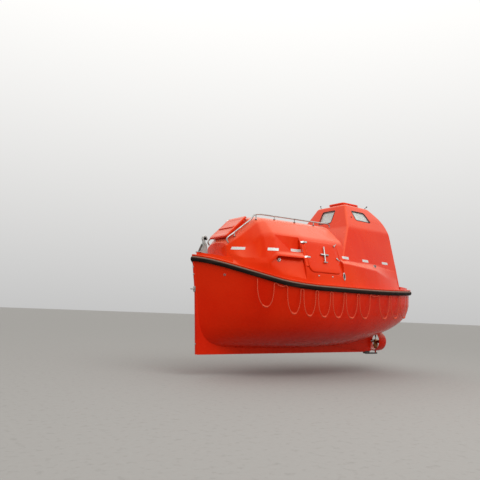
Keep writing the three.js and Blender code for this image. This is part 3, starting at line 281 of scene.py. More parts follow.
def tube(name, path, radii, sides=12, loop=False):
    """Circles of the given radii square to a path. Each circle's first direction is the one before
    it, made square to the path again, so the tube doesn't twist. The second map coordinate runs
    along the path in metres, the first once round it."""
    path = np.asarray(path, float)
    ahead = np.roll(path, -1, 0) if loop else np.vstack([path[1:], 2 * path[-1] - path[-2]])
    behind = np.roll(path, 1, 0) if loop else np.vstack([2 * path[0] - path[1], path[:-1]])
    run = ahead - behind
    run /= np.linalg.norm(run, axis=1)[:, None]
    first = np.cross(run[0], (0.3, 0.9, 0.2) if abs(run[0][1]) < 0.9 else (1, 0, 0))
    sides_out = []
    for direction in run:
        first = first - direction * first.dot(direction)
        first /= np.linalg.norm(first)
        sides_out.append(first)
    u = np.array(sides_out)
    v = np.cross(run, u)
    a = np.linspace(0, 2 * np.pi, sides, endpoint=False)
    r = np.broadcast_to(radii, len(path))[:, None, None]
    rings = path[:, None] + r * (u[:, None] * np.cos(a)[:, None] + v[:, None] * np.sin(a)[:, None])
    thing = torus_loft(name, rings) if loop else loft(name, rings)
    length = np.concatenate([[0], np.cumsum(np.linalg.norm(np.diff(path, axis=0), axis=1))])
    for key, values, ends in (("run_along", np.repeat(length, sides), [0, length[-1]]),
                              ("run_around", np.tile(a / (2 * np.pi), len(path)), [0, 0])):
        layer = thing.data.attributes.new(key, "FLOAT", "POINT")
        layer.data.foreach_set("value", np.append(values, [] if loop else ends).astype(np.float32))
    return thing, float(length[-1])


print("fixings a side:", len(HELD))

# %% [markdown]
# Each side has one rope, with a float in every deep loop that keeps the loop up in the water. A rope
# simulation could hang them as well, but the formula gives the same loops every time.

# %% Hang the lifelines
lifelines, grips = [], []
rope_route = lifeline_route()
is_grip = (rope_route[:, 2] > 0) & (np.abs(rope_route[:, 3] - np.pi / 2) < FLOAT_TURN)
for side, word in SIDES:
    path = lifeline_points(side, rope_route)
    rope, rope_length = tube(f"lifeline_rope_{word}", path, ROPE_RADIUS / 1000)
    held = np.flatnonzero(is_grip)
    for k, run in enumerate(np.split(held, np.flatnonzero(np.diff(held) > 1) + 1)):
        swell = np.sin(np.linspace(0, np.pi, len(run))) ** FLOAT_FULLNESS
        radii = (ROPE_RADIUS + FLOAT_LIP
                 + (FLOAT_RADIUS - ROPE_RADIUS - FLOAT_LIP) * swell) / 1000
        grip, _ = tube(f"lifeline_float_{word}_{k}", path[run], radii)
        grips.append(grip)
        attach(grip, "boat")
    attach(rope, "boat")
    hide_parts(f"lifeline_{word}")
    lifelines.append(rope)
    print(rope.name, round(rope_length, 2), "m of rope")

# %% [markdown]
# A finish is a Principled shader fed by a few patterns. A painted image would also do, but it needs
# an unwrapped map and shows its seams. Here each pattern is worked out on Object coordinates, so it
# has no seam and stays fixed to its piece when the piece moves. Five helpers make the nodes: noise,
# a map from one range to another, a mix of two colours, two patterns worked into one, and a bump.

# %% Helpers that build finishes
def finish_of(name, colour, roughness, metallic=0.0):
    """A new material with its shader's plain values set."""
    made = bpy.data.materials.new(name)
    made.use_nodes = True
    shader = made.node_tree.nodes["Principled BSDF"]
    shader.inputs["Base Color"].default_value = (*colour, 1)
    shader.inputs["Roughness"].default_value = roughness
    shader.inputs["Metallic"].default_value = metallic
    return made, made.node_tree, shader


def noise(tree, scale, detail=2.0, stretch=(1, 1, 1)):
    """Cloud pattern on Object coordinates; a stretch below one along an axis draws it out there."""
    place = tree.nodes.new("ShaderNodeTexCoord")
    mapping = tree.nodes.new("ShaderNodeMapping")
    mapping.inputs["Scale"].default_value = stretch
    cloud = tree.nodes.new("ShaderNodeTexNoise")
    cloud.inputs["Scale"].default_value = scale
    cloud.inputs["Detail"].default_value = detail
    tree.links.new(place.outputs["Object"], mapping.inputs["Vector"])
    tree.links.new(mapping.outputs["Vector"], cloud.inputs["Vector"])
    return cloud.outputs["Fac"]


def remap(tree, value, low, high, start=0.35, end=0.65):
    """Straight map of a pattern's values from start..end to low..high, held at both ends."""
    node = tree.nodes.new("ShaderNodeMapRange")
    node.inputs["From Min"].default_value, node.inputs["From Max"].default_value = start, end
    node.inputs["To Min"].default_value, node.inputs["To Max"].default_value = low, high
    tree.links.new(value, node.inputs["Value"])
    return node.outputs["Result"]


def blend_colours(tree, factor, first, second):
    """Mix of two colours; either may be a socket or a plain colour."""
    node = tree.nodes.new("ShaderNodeMix")
    node.data_type = "RGBA"
    tree.links.new(factor, node.inputs["Factor"])
    for socket, colour in ((node.inputs[6], first), (node.inputs[7], second)):
        if isinstance(colour, tuple):
            socket.default_value = (*colour, 1)
        else:
            tree.links.new(colour, socket)
    return node.outputs[2]


def combine(tree, first, second, how="MULTIPLY"):
    """Two patterns worked into one value."""
    node = tree.nodes.new("ShaderNodeMath")
    node.operation = how
    for socket, value in zip(node.inputs, (first, second)):
        if isinstance(value, (int, float)):
            socket.default_value = value
        else:
            tree.links.new(value, socket)
    return node.outputs["Value"]


def bump(tree, shader, height, depth, before=None):
    """Relief of a depth in metres from a pattern, on top of an earlier one if given."""
    node = tree.nodes.new("ShaderNodeBump")
    node.inputs["Strength"].default_value = 1.0
    node.inputs["Distance"].default_value = depth
    tree.links.new(height, node.inputs["Height"])
    if before is not None:
        tree.links.new(before, node.inputs["Normal"])
    tree.links.new(node.outputs["Normal"], shader.inputs["Normal"])
    return node.outputs["Normal"]


print("materials from the solids:", len(bpy.data.materials))

# %% [markdown]
# Moulded glass-fibre isn't one flat colour. Its gelcoat is a glossy skin with a faint cloudiness, a
# little waviness that bends reflections and rain marks that run down. Faces that look up are also
# painted paler, as painted sky light on the roof and the upper faces. One flat colour with a gloss
# would look like a toy's plastic, so the four marks are laid over each other.

# %% Gelcoat
# Pale tone painted on faces that look up: painted sky light.
SKYLIGHT_TONE = (0.84, 0.215, 0.120)
SKYLIGHT_FROM, SKYLIGHT_FULL = 0.34, 1.05
GLOSS, WARM_GLOSS = 0.30, (1.0, 0.30, 0.14, 1.0)


def facing_up(tree, low, high):
    """How far the surface faces up: z of its normal, mapped from low..high to none..full."""
    place = tree.nodes.new("ShaderNodeTexCoord")
    split = tree.nodes.new("ShaderNodeSeparateXYZ")
    tree.links.new(place.outputs["Normal"], split.inputs["Vector"])
    return remap(tree, split.outputs["Z"], 0.0, 1.0, low, high)


def gelcoat(name, colour, faded, rough_low, rough_high, wave=0.004):
    """Glossy moulded skin: two tones clouded together, rain marks, painted sky light that pales the
    faces looking up, and a little waviness."""
    made, tree, shader = finish_of(name, colour, rough_low)
    clouds = remap(tree, noise(tree, 0.9, 4.0), 0.0, 1.0)
    streaks = remap(tree, noise(tree, 9.0, 4.0, stretch=(1, 1, 0.06)), 0.0, 0.7, 0.5, 0.8)
    weather = combine(tree, clouds, streaks, "MAXIMUM")
    skin = blend_colours(tree, weather, colour, faded)
    # Faces that look up are blended towards the pale tone by their normal: painted sky light.
    painted_skylight = facing_up(tree, SKYLIGHT_FROM, SKYLIGHT_FULL)
    tree.links.new(blend_colours(tree, painted_skylight, skin, SKYLIGHT_TONE), shader.inputs["Base Color"])
    dull = remap(tree, noise(tree, 5.0, 5.0), rough_low, rough_high)
    tree.links.new(dull, shader.inputs["Roughness"])
    shader.inputs["Specular IOR Level"].default_value = GLOSS
    shader.inputs["Specular Tint"].default_value = WARM_GLOSS
    waves = bump(tree, shader, noise(tree, 2.2, 1.0), wave)
    bump(tree, shader, noise(tree, 240.0, 2.0), 0.00002, waves)
    return made


hull_gelcoat = gelcoat("hull_gelcoat", (0.62, 0.010, 0.0010), (0.68, 0.020, 0.003), 0.20, 0.34)
canopy_gelcoat = gelcoat("canopy_gelcoat", (0.66, 0.020, 0.0015), (0.74, 0.040, 0.006), 0.16, 0.30)
print("gelcoats:", hull_gelcoat.name, canopy_gelcoat.name)

# %% [markdown]
# Rubber, steel, rope, tape and clear sheet each wear in their own way: steel shows its grain and
# stains, rope shows its strands and tape its small cells. The rubber's top is painted paler, a
# painted sheen of sky light, and the grooves between the rope's strands are painted shade. Each piece
# could have a finish of its own, but pieces of one kind came out of one pot, so they share one.

# %% Rubber and metals
def fender_rubber():
    """Dark weathered rubber, paler where it was rubbed along its length, and painted paler on top as
    a painted sheen of sky light.
    """
    made, tree, shader = finish_of("fender_rubber", (0.028, 0.020, 0.016), 0.6)
    rubbed = remap(tree, noise(tree, 7.0, 5.0, stretch=(0.25, 0.25, 3.0)), 0.0, 1.0, 0.52, 0.74)
    tone = blend_colours(tree, rubbed, (0.012, 0.007, 0.005), (0.034, 0.022, 0.016))
    # The upper faces are painted a pale brown: a painted sheen of sky light on the fender's top.
    painted_top_sheen = blend_colours(tree, facing_up(tree, 0.25, 0.95), tone, (0.36, 0.21, 0.16))
    tree.links.new(painted_top_sheen, shader.inputs["Base Color"])
    tree.links.new(remap(tree, noise(tree, 18.0, 4.0), 0.55, 0.8), shader.inputs["Roughness"])
    shader.inputs["Specular IOR Level"].default_value = 0.10
    bump(tree, shader, noise(tree, 160.0, 3.0), 0.0004)
    return made


def bright_metal(name, colour, low, high, grain=(1, 1, 1), metallic=1.0, depth=0.00012):
    """Metal with brushed grain or cast skin: fine noise drawn out along the grain."""
    made, tree, shader = finish_of(name, colour, low, metallic)
    marks = noise(tree, 60.0, 4.0, stretch=grain)
    tree.links.new(remap(tree, marks, low, high), shader.inputs["Roughness"])
    stained = remap(tree, noise(tree, 11.0, 4.0), 0.0, 1.0, 0.45, 0.75)
    dirty = tuple(0.55 * c for c in colour)
    tree.links.new(blend_colours(tree, stained, colour, dirty), shader.inputs["Base Color"])
    bump(tree, shader, noise(tree, 320.0, 2.0, stretch=grain), depth)
    return made


rubber = fender_rubber()
stainless = bright_metal("stainless", (0.52, 0.52, 0.50), 0.28, 0.46, grain=(1, 6, 6))
galvanised = bright_metal("galvanised", (0.40, 0.40, 0.38), 0.36, 0.58, metallic=0.8, depth=0.0003)
bronze = bright_metal("propeller_bronze", (0.36, 0.19, 0.075), 0.28, 0.5, depth=0.0004)
print("rubber and metals:", rubber.name, stainless.name, galvanised.name, bronze.name)


# %% Paint, clear sheet, rope and tape
def plain_paint(name, colour, worn, low, high, grain=120.0, depth=0.0002):
    """Painted or moulded skin with scuffs and a fine grain."""
    made, tree, shader = finish_of(name, colour, low)
    scuffed = remap(tree, noise(tree, 14.0, 6.0), 0.0, 1.0, 0.55, 0.75)
    tree.links.new(blend_colours(tree, scuffed, colour, worn), shader.inputs["Base Color"])
    tree.links.new(remap(tree, noise(tree, 22.0, 3.0), low, high), shader.inputs["Roughness"])
    bump(tree, shader, noise(tree, grain, 3.0), depth)
    return made


def window_plastic():
    """Clear sheet with faint scratches and haze."""
    made, tree, shader = finish_of("window_plastic", (0.82, 0.86, 0.82), 0.04)
    shader.inputs["Transmission Weight"].default_value = 0.5
    shader.inputs["IOR"].default_value = 1.45
    tree.links.new(remap(tree, noise(tree, 40.0, 5.0, stretch=(1, 1, 6)), 0.03, 0.14),
                   shader.inputs["Roughness"])
    return made


TWIST, STRANDS = 190.0, 3


def rope_finish():
    """Laid rope: three strands that wind round as they run along, as a sine of both coordinates."""
    made, tree, shader = finish_of("rope_orange", (0.62, 0.085, 0.03), 0.85)
    along = tree.nodes.new("ShaderNodeAttribute")
    along.attribute_name = "run_along"
    around = tree.nodes.new("ShaderNodeAttribute")
    around.attribute_name = "run_around"
    turn = combine(tree, combine(tree, along.outputs["Fac"], TWIST),
                   combine(tree, around.outputs["Fac"], STRANDS * 2 * math.pi), "ADD")
    strands = combine(tree, turn, 0.0, "SINE")
    # Darker in the grooves between the strands and lighter on their crowns: painted shade.
    painted_strand_shade = remap(tree, strands, 0.0, 1.0, -1.0, 0.6)
    tree.links.new(blend_colours(tree, painted_strand_shade, (0.50, 0.030, 0.008), (0.82, 0.105, 0.040)),
                   shader.inputs["Base Color"])
    tree.links.new(remap(tree, noise(tree, 300.0, 3.0), 0.75, 0.95), shader.inputs["Roughness"])
    bump(tree, shader, strands, 0.0015)
    return made


def reflective_tape():
    """Silver tape made of small cells, dulled a little by dust."""
    made, tree, shader = finish_of("reflective_tape", (0.60, 0.60, 0.58), 0.35, 0.1)
    place = tree.nodes.new("ShaderNodeTexCoord")
    cells = tree.nodes.new("ShaderNodeTexVoronoi")
    cells.feature = "DISTANCE_TO_EDGE"
    cells.inputs["Scale"].default_value = 260.0
    tree.links.new(place.outputs["Object"], cells.inputs["Vector"])
    edge = remap(tree, cells.outputs["Distance"], 0.0, 1.0, 0.0, 0.12)
    tree.links.new(blend_colours(tree, edge, (0.40, 0.41, 0.42), (0.66, 0.66, 0.63)),
                   shader.inputs["Base Color"])
    tree.links.new(remap(tree, noise(tree, 30.0, 4.0), 0.25, 0.5), shader.inputs["Roughness"])
    bump(tree, shader, edge, 0.0002)
    return made


windows = window_plastic()
rope_orange = rope_finish()
tape = reflective_tape()
black = plain_paint("black_paint", (0.022, 0.023, 0.025), (0.09, 0.085, 0.08), 0.4, 0.65)
cabin_white = plain_paint("cabin_white", (0.62, 0.62, 0.58), (0.45, 0.44, 0.40), 0.45, 0.65)
engine_grey = plain_paint("engine_enamel", (0.10, 0.145, 0.16), (0.05, 0.05, 0.05), 0.4, 0.6, 60.0,
                          0.0006)
gasket = plain_paint("window_gasket", (0.012, 0.012, 0.013), (0.05, 0.05, 0.05), 0.5, 0.75)
seat_black = plain_paint("seat_vinyl", (0.03, 0.032, 0.036), (0.07, 0.07, 0.07), 0.45, 0.7, 420.0,
                         0.0005)
for piece in lifelines + grips:
    piece.data.materials.append(rope_orange)
print("finishes:", len(bpy.data.materials))

# %% [markdown]
# Many outside pieces are flat mouldings with rounded corners: doors, lids, plates, panes, gaskets.
# They share one recipe. A flat outline gets its corners rounded, a copy of it is drawn in a little,
# and the copies are stacked at rising heights, which gives a plate with eased edges. The plate's own
# plane is a function, so the same recipe serves the leaning door, the sloping hatch and a pane.

# %% Outlines, plates and strips
def rounded(corners, radius, steps=5):
    """Each corner replaced by a parabola that leaves the sides at the given distance from it."""
    p = np.asarray(corners, float)
    back, ahead = np.roll(p, 1, 0) - p, np.roll(p, -1, 0) - p
    la, lb = np.linalg.norm(back, axis=1)[:, None], np.linalg.norm(ahead, axis=1)[:, None]
    reach = np.broadcast_to(np.asarray(radius, float).reshape(-1, 1), (len(p), 1))
    d = np.minimum(reach, 0.48 * np.minimum(la, lb))
    start, end = p + back / la * d, p + ahead / lb * d
    t = np.linspace(0, 1, steps)[None, :, None]
    arcs = (1 - t) ** 2 * start[:, None] + 2 * t * (1 - t) * p[:, None] + t**2 * end[:, None]
    return arcs.reshape(-1, 2)


def drawn_in(outline_points, by):
    """Outline moved inwards by a distance square to its sides, corner by corner."""
    p = np.asarray(outline_points, float)
    ahead, back = np.roll(p, -1, 0) - p, p - np.roll(p, 1, 0)
    ahead /= np.linalg.norm(ahead, axis=1)[:, None]
    back /= np.linalg.norm(back, axis=1)[:, None]
    area = np.sum(p[:, 0] * np.roll(p[:, 1], -1) - np.roll(p[:, 0], -1) * p[:, 1])
    normal = np.stack([-(ahead + back)[:, 1], (ahead + back)[:, 0]], 1) * np.sign(area)
    length = np.linalg.norm(normal, axis=1)[:, None]
    return p + normal / length * by / np.clip(length / 2, 0.5, 1)


LEVEL_RING = 1.2


def plate(name, points, layers, place):
    """Stack of the outline, each layer drawn in by its first number and raised by its second. The
    outline is a row of points, or a function of the first number where that is large. One more
    level ring at each end keeps the light flat on the two faces."""
    (first_in, first_up), (last_in, last_up) = layers[0], layers[-1]
    layers = [(first_in + LEVEL_RING, first_up), *layers, (last_in + LEVEL_RING, last_up)]
    inner = points if callable(points) else lambda i: drawn_in(points, i)
    return loft(name, np.stack([drawn(place(inner(i), h)) for i, h in layers]))


def strip(name, points, section, place):
    """A closed strip along the outline whose cross-section is given as such layers."""
    return torus_loft(name, np.stack([drawn(place(drawn_in(points, i), h)) for i, h in section]))


def hull_around(name, points):
    """Smallest convex body round some points."""
    mesh = bpy.data.meshes.new(name)
    build = bmesh.new()
    for point in drawn(points):
        build.verts.new(point)
    result = bmesh.ops.convex_hull(build, input=build.verts)
    bmesh.ops.delete(build, geom=[v for v in result["geom_interior"]], context="VERTS")
    bmesh.ops.recalc_face_normals(build, faces=build.faces)
    build.to_mesh(mesh)
    build.free()
    thing = bpy.data.objects.new(name, mesh)
    bpy.context.scene.collection.objects.link(thing)
    return thing


square = rounded([(0, 0), (9, 0), (9, 9), (0, 9)], 2)
print("a square with eased corners has", len(square), "points")


# %% Adding, cutting and finishing bodies
def boolean(base, tools, how):
    """Base with the tools added to it, cut out of it or kept within it; the tools are used up."""
    for tool in tools:
        step = base.modifiers.new("step", "BOOLEAN")
        step.operation, step.solver, step.object = how, "MANIFOLD", tool
        view = bpy.context.evaluated_depsgraph_get()
        shape = bpy.data.meshes.new_from_object(base.evaluated_get(view))
        base.modifiers.clear()
        old, base.data = base.data, shape
        bpy.data.meshes.remove(old)
        spent = tool.data
        bpy.data.objects.remove(tool)
        bpy.data.meshes.remove(spent)
    return base


def bar(name, start, end, radius, sides=20, ease=0.0):
    """Round bar between two points, with eased ends where asked."""
    a, b = np.asarray(start, float), np.asarray(end, float)
    run = (b - a) / np.linalg.norm(b - a)
    if ease:
        path = [a, a + run * ease * 0.3, a + run * ease, b - run * ease, b - run * ease * 0.3, b]
        radii = np.array([radius - ease, radius - ease * 0.3, radius, radius, radius - ease * 0.3,
                          radius - ease])
    else:
        path, radii = [a, b], np.array([radius, radius])
    return tube(name, drawn(path), radii / 1000, sides)[0]


def joined(name, parts):
    """Several closed bodies added into one."""
    base = parts[0]
    base.name = base.data.name = name
    return boolean(base, parts[1:], "UNION")


MERGE_WITHIN, SLIVER = 2e-6, 1e-6


def finished(thing, material, body="boat", replaces=(), angle=32.0):
    """Last step for a piece: doubles merged, smooth but for edges sharper than the angle, painted,
    and set on its body."""
    build = bmesh.new()
    build.from_mesh(thing.data)
    bmesh.ops.remove_doubles(build, verts=build.verts, dist=MERGE_WITHIN)
    bmesh.ops.dissolve_degenerate(build, dist=SLIVER, edges=build.edges)
    build.to_mesh(thing.data)
    build.free()
    thing.data.materials.clear()
    thing.data.materials.append(material)
    thing.data.shade_smooth()
    thing.data.set_sharp_from_angle(angle=math.radians(angle))
    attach(thing, body)
    if replaces:
        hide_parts(*replaces)
    return thing


for piece in lifelines + grips:
    piece.data.shade_smooth()
print("ropes and floats:", len(lifelines), len(grips))

# %% [markdown]
# The hull is a deep round-bilged moulding that comes to a point at the stem. Its shape is a table of
# waterlines from the bottom up. Between two rows every number of the table follows a smooth curve,
# so the skin has no ridge at a row. The same skin turns over the rim and down inside to the sole,
# which makes one closed body. Then the keel plate and the stem bar are added to it.

# %% Hull moulding
WATERLINES = table("z half bow stern bow_full stern_full", [
    (100, 30, 1560, 250, 1.8, 1.5), (118, 150, 1860, -350, 1.8, 1.6),
    (150, 300, 2030, -950, 1.85, 1.7), (210, 500, 2140, -1290, 1.95, 1.8),
    (300, 715, 2220, -1560, 2.05, 2.0), (410, 870, 2272, -1845, 2.15, 2.3),
    (520, 955, 2300, -2150, 2.25, 2.25), (650, 1012, 2322, -2365, 2.4, 2.35),
    (800, 1048, 2337, -2470, 2.55, 2.5), (940, 1076, 2350, -2500, 2.65, 2.55),
])
HOLLOWS = table("z half bow stern bow_full stern_full", [
    (372, 690, 1990, -1380, 2.05, 2.0), (520, 870, 2180, -1800, 2.2, 2.1),
    (650, 945, 2230, -2140, 2.35, 2.2), (800, 995, 2262, -2340, 2.5, 2.3),
    (940, 1025, 2280, -2420, 2.6, 2.4),
])
BAND_DROP, HULL_WALL, ROUND_STEPS = 60.0, 44.0, 300
angles = even_angles(ROUND_STEPS)


def waterline_rings(rows, steps):
    """Outlines at heights between the table's rows; each number follows a curve over the rows."""
    index = np.arange(len(rows["z"]), dtype=float)
    at = np.linspace(0, index[-1], steps)
    values = {key: curve(index, column, at)[:, None] for key, column in rows.items()}
    x, y = outline(values["half"], values["bow"], values["stern"], values["bow_full"],
                   values["stern_full"], angles[None, :])
    return drawn(np.stack([x, y, np.broadcast_to(values["z"], x.shape)], -1))


def between(first, last, steps):
    """Rings spaced evenly from one ring to another, the first one left out."""
    u = np.linspace(0, 1, steps + 1)[1:, None, None]
    return first + (last - first) * u


outer = waterline_rings(WATERLINES, 46)
inner = waterline_rings(HOLLOWS, 9)[::-1]
gunwale = sheer_ring(0, -BAND_DROP, angles)
rim = sheer_ring(0, HULL_TOP_RISE, angles)
inner_rim = sheer_ring(-HULL_WALL, HULL_TOP_RISE, angles)
inner_low = sheer_ring(-HULL_WALL, -BAND_DROP, angles)
hull = loft("hull_moulding", np.concatenate([
    outer, between(outer[-1], gunwale, 8), between(gunwale, rim, 4), inner_rim[None],
    inner_low[None], inner]))
print("hull skin:", len(outer) + len(inner), "waterlines of", ROUND_STEPS, "points")

# %% Keel, stem and the two bores
KEEL_HALF, STEM_DEPTH = 30.0, 56.0
NOZZLE_X, SHAFT_Z, SHAFT_BORE, STOCK_BORE = -1970.0, 215.0, 17.6, 20.6
STEM = table("z x", [(0, 2298), (170, 2308), (700, 2341), (1090, 2370), (1280, 2397),
                     (1478, 2420)])
KEEL = [(2290, 0), (2320, 560), (2100, 560), (1900, 240), (1500, 150), (-300, 150), (-1000, 300),
        (-1500, 420), (-1800, 470), (-1800, 16), (-1620, 16), (-1620, 0)]


def upright(points, height):
    """Plane of the keel: the outline's numbers are x and z, the height is y."""
    return np.stack([points[:, 0], np.full(len(points), height), points[:, 1]], 1)


keel = plate("keel_plate", rounded(KEEL, [26, 10, 1, 1, 1, 1, 1, 1, 1, 6, 2, 2]), [
    (7, -KEEL_HALF), (2, -KEEL_HALF + 2), (0, -KEEL_HALF + 7), (0, KEEL_HALF - 7),
    (2, KEEL_HALF - 2), (7, KEEL_HALF)], upright)
stem_heights = np.linspace(4, 1478, 40)
stem_x = curve(STEM["z"], STEM["x"], stem_heights)
half_section = [(-STEM_DEPTH, -30), (-16, -30), (-6, -26), (-1, -16), (0, 0), (-1, 16), (-6, 26),
                (-16, 30), (-STEM_DEPTH, 30)]
stem = loft("stem_bar", np.stack([
    drawn([(x + dx, dy, z) for dx, dy in half_section]) for x, z in zip(stem_x, stem_heights)]))
hull = boolean(hull, [keel, stem], "UNION")
shaft_bore = bar("shaft_bore", (-1900, 0, SHAFT_Z), (-1440, 0, SHAFT_Z), SHAFT_BORE)
stock_bore = bar("stock_bore", (NOZZLE_X, 0, 380), (NOZZLE_X, 0, 760), STOCK_BORE)
hull = boolean(hull, [shaft_bore, stock_bore], "DIFFERENCE")
finished(hull, hull_gelcoat, replaces=["hull_shell"], angle=38)
print("hull triangles:", sum(len(f.vertices) - 2 for f in hull.data.polygons))

# %% [markdown]
# The fender is a D-shaped rubber section screwed round the gunwale. A curve with a bevel object
# would carry such a section too, but it can twist at the bow. Here the section is a short list of
# points carried along the sheer line, each point moved out and up from it.

# %% Rubber fender
FENDER_FLAT, FENDER_ROUND, FENDER_TURN, FENDER_EASE = 0.45, 0.55, 80, 0.985
fender_section = [(GAP, -FENDER_HALF), (FENDER_FLAT * FENDER_OUT, -FENDER_HALF)] + [
    (FENDER_FLAT * FENDER_OUT + FENDER_ROUND * FENDER_OUT * math.cos(math.radians(a)),
     FENDER_HALF * math.sin(math.radians(a)) / math.sin(math.radians(FENDER_TURN)) * FENDER_EASE)
    for a in np.linspace(-FENDER_TURN, FENDER_TURN, 13)] + [
    (FENDER_FLAT * FENDER_OUT, FENDER_HALF), (GAP, FENDER_HALF)]
fender_angles = even_angles(420)
fender = torus_loft("rubber_fender", np.stack([
    sheer_ring(out, up, fender_angles) for out, up in fender_section]))
finished(fender, rubber, replaces=["gunwale_fender"], angle=50)
print("fender triangles:", 2 * len(fender.data.polygons))

# %% [markdown]
# The canopy is the closed upper half. Seen end on, its section has a low ledge, a leaning side, a
# crease and a rounded roof. A table gives those corners at twelve stations along the boat. Here the
# corners are interpolated to many more sections, averaged over a few centimetres so that no station
# shows as a hard line, and then each corner is rounded by a parabola.

# %% Canopy sections
CANOPY_WALL, BASE_INSET, AFT_BASE_X, AFT_BASE_Y = 48.0, 34.0, -1600, 800.0
STATIONS = table("x ledge_y ledge_z step_y step_z crease_y crease_z roof_y roof_z ridge_z", [
    (1985, 300, 1575, 293, 1640, 285, 1730, 245, 1790, 1828),
    (1860, 560, 1490, 530, 1570, 415, 1700, 321, 1907, 1948),
    (1680, 693, 1480, 665, 1560, 518, 1820, 371, 2068, 2122),
    (1510, 800, 1490, 770, 1560, 635, 1937, 420, 2222, 2286),
    (1360, 862, 1637, 815, 1690, 712, 1981, 430, 2268, 2338),
    (800, 1015, 1630, 925, 1680, 800, 1975, 432, 2280, 2360),
    (-130, 1010, 1592, 938, 1640, 800, 1968, 432, 2285, 2365),
    (-190, 1008, 1588, 932, 1636, 740, 1880, 400, 2120, 2180),
    (-500, 990, 1565, 905, 1622, 700, 1860, 400, 2010, 2060),
    (-880, 945, 1535, 868, 1622, 700, 1830, 400, 1970, 2020),
    (-1250, 893, 1420, 805, 1600, 690, 1780, 400, 1930, 1980),
    (-1670, 772, 1440, 745, 1590, 640, 1700, 400, 1800, 1850),
])
CORNER_REACH = [0, 26, 24, 70, 30, 30, 60, 0]


def station(x, key, soften=22.0):
    """A column of the stations at x, averaged over a short stretch of the boat."""
    offsets = np.linspace(-soften, soften, 7)
    return np.mean([spread(STATIONS, x + o, key) for o in offsets], axis=0)


def section_corners(x, wall, soften=22.0):
    """The eight corners of the port half of each section, drawn in by the wall."""
    s = {key: station(x, key, soften) for key in STATIONS if key != "x"}
    side = wall * 1.06
    widest = np.where(x < AFT_BASE_X, AFT_BASE_Y, BEAM_HALF)
    base_y = np.minimum(side_y(x) - BASE_INSET, widest) - wall
    base_z = sheer_z(x) + HULL_TOP_RISE + (-60 if wall else 20)
    rise = s["ridge_z"] - s["roof_z"]
    corners = [
        (base_y, base_z), (s["ledge_y"] - side, s["ledge_z"] - wall * 0.2),
        (s["step_y"] - side, s["step_z"] - wall * 0.4),
        (s["crease_y"] - side * 0.95, s["crease_z"] - wall * 0.35),
        (s["roof_y"] + 40 - wall * 0.55, s["roof_z"] - 34 - wall * 0.85),
        (s["roof_y"] - 40 - wall * 0.45, s["roof_z"] + 12 - wall),
        (s["roof_y"] * 0.5, s["roof_z"] + rise * 0.78 - wall), (0 * x, s["ridge_z"] - wall)]
    return np.stack([np.stack(np.broadcast_arrays(y, z), -1) for y, z in corners], 1)


def eased_sections(corners, reach, steps=5):
    """Each corner of each section replaced by a parabola between its neighbours' directions."""
    rows = [corners[:, :1]]
    for k in range(1, corners.shape[1] - 1):
        p = corners[:, k]
        a, b = corners[:, k - 1] - p, corners[:, k + 1] - p
        la, lb = np.linalg.norm(a, axis=1)[:, None], np.linalg.norm(b, axis=1)[:, None]
        d = np.minimum(reach[k], 0.46 * np.minimum(la, lb))
        start, end = (p + a / la * d)[:, None], (p + b / lb * d)[:, None]
        t = np.linspace(0, 1, steps)[None, :, None]
        rows.append((1 - t) ** 2 * start + 2 * t * (1 - t) * p[:, None] + t**2 * end)
    rows.append(corners[:, -1:])
    return np.concatenate(rows, axis=1)


def full_rings(x, half):
    """Port halves and their mirror images joined into whole rings."""
    port = np.stack([np.broadcast_to(x[:, None], half.shape[:2]), half[..., 0], half[..., 1]], -1)
    starboard = (port * (1, -1, 1))[:, -2::-1]
    return drawn(np.concatenate([port, starboard], axis=1))


print("stations:", len(STATIONS["x"]))

# %% Canopy skin and its hollow
NOSE_X, NOSE_LENGTH, NOSE_SHRINK, NOSE_CENTRE = 1967, 18, 0.035, (0, 1600)
fine_x = np.unique(np.concatenate([np.linspace(-1670, 1985, 150), np.linspace(-230, -90, 20),
                                   np.linspace(1300, 1560, 24), np.linspace(1960, 1985, 6)]))
shell_corners = section_corners(fine_x, 0.0)
front_ease = np.clip((fine_x - NOSE_X) / NOSE_LENGTH, 0, 1)
shell_half = eased_sections(shell_corners, CORNER_REACH)
nose = NOSE_SHRINK * (1 - np.sqrt(1 - front_ease**2))
shell_half = shell_half - (shell_half - NOSE_CENTRE) * nose[:, None, None]
shell = loft("canopy_moulding", full_rings(fine_x, shell_half))
hollow_x = np.array([-1622, -1250, -880, -500, -190, -130, 800, 1360, 1510, 1680, 1860, 1937],
                    float)
hollow = loft("canopy_hollow", full_rings(hollow_x, section_corners(hollow_x, CANOPY_WALL, 0.0)))
print("sections:", len(fine_x), "points each:", shell_half.shape[1] * 2 - 1)

# %% [markdown]
# The conning tower stands over the aft half so that the helmsman sees over the roof. Each level of
# it is a four-sided outline with rounded corners, narrower at the top. The front face is one plane,
# the aft face curves over at the top, and a last few rings draw in to round the upper edge.

# %% Conning tower
TOWER = table("z fore_x aft_x fore_y aft_y", [
    (1270, 20, -1742, 939, 790), (1650, 20, -1695, 950, 731), (2330, -405, -1642, 660, 597),
    (2580, -518, -1585, 511, 472), (2815, -625, -1290, 371, 335),
])
TOWER_TOP, TOWER_CORNER, TOP_EASE, TOP_BAND = 2815.0, 44.0, 26.0, 60


def tower_value(z, key, soften=0.0):
    """A column of the tower's levels at a height, its last slope carried on past the ends."""
    def straight(h):
        k = np.clip(np.searchsorted(TOWER["z"], h) - 1, 0, len(TOWER["z"]) - 2)
        a, b = TOWER["z"][k], TOWER["z"][k + 1]
        return TOWER[key][k] + (TOWER[key][k + 1] - TOWER[key][k]) * (h - a) / (b - a)
    return np.mean([straight(z + o) for o in np.linspace(-soften, soften, 9)], axis=0)


def flank_y(x, z):
    """Half breadth of the tower at a place on its side."""
    fore, aft = tower_value(z, "fore_x"), tower_value(z, "aft_x")
    u = (x - fore) / (aft - fore)
    return tower_value(z, "fore_y") * (1 - u) + tower_value(z, "aft_y") * u


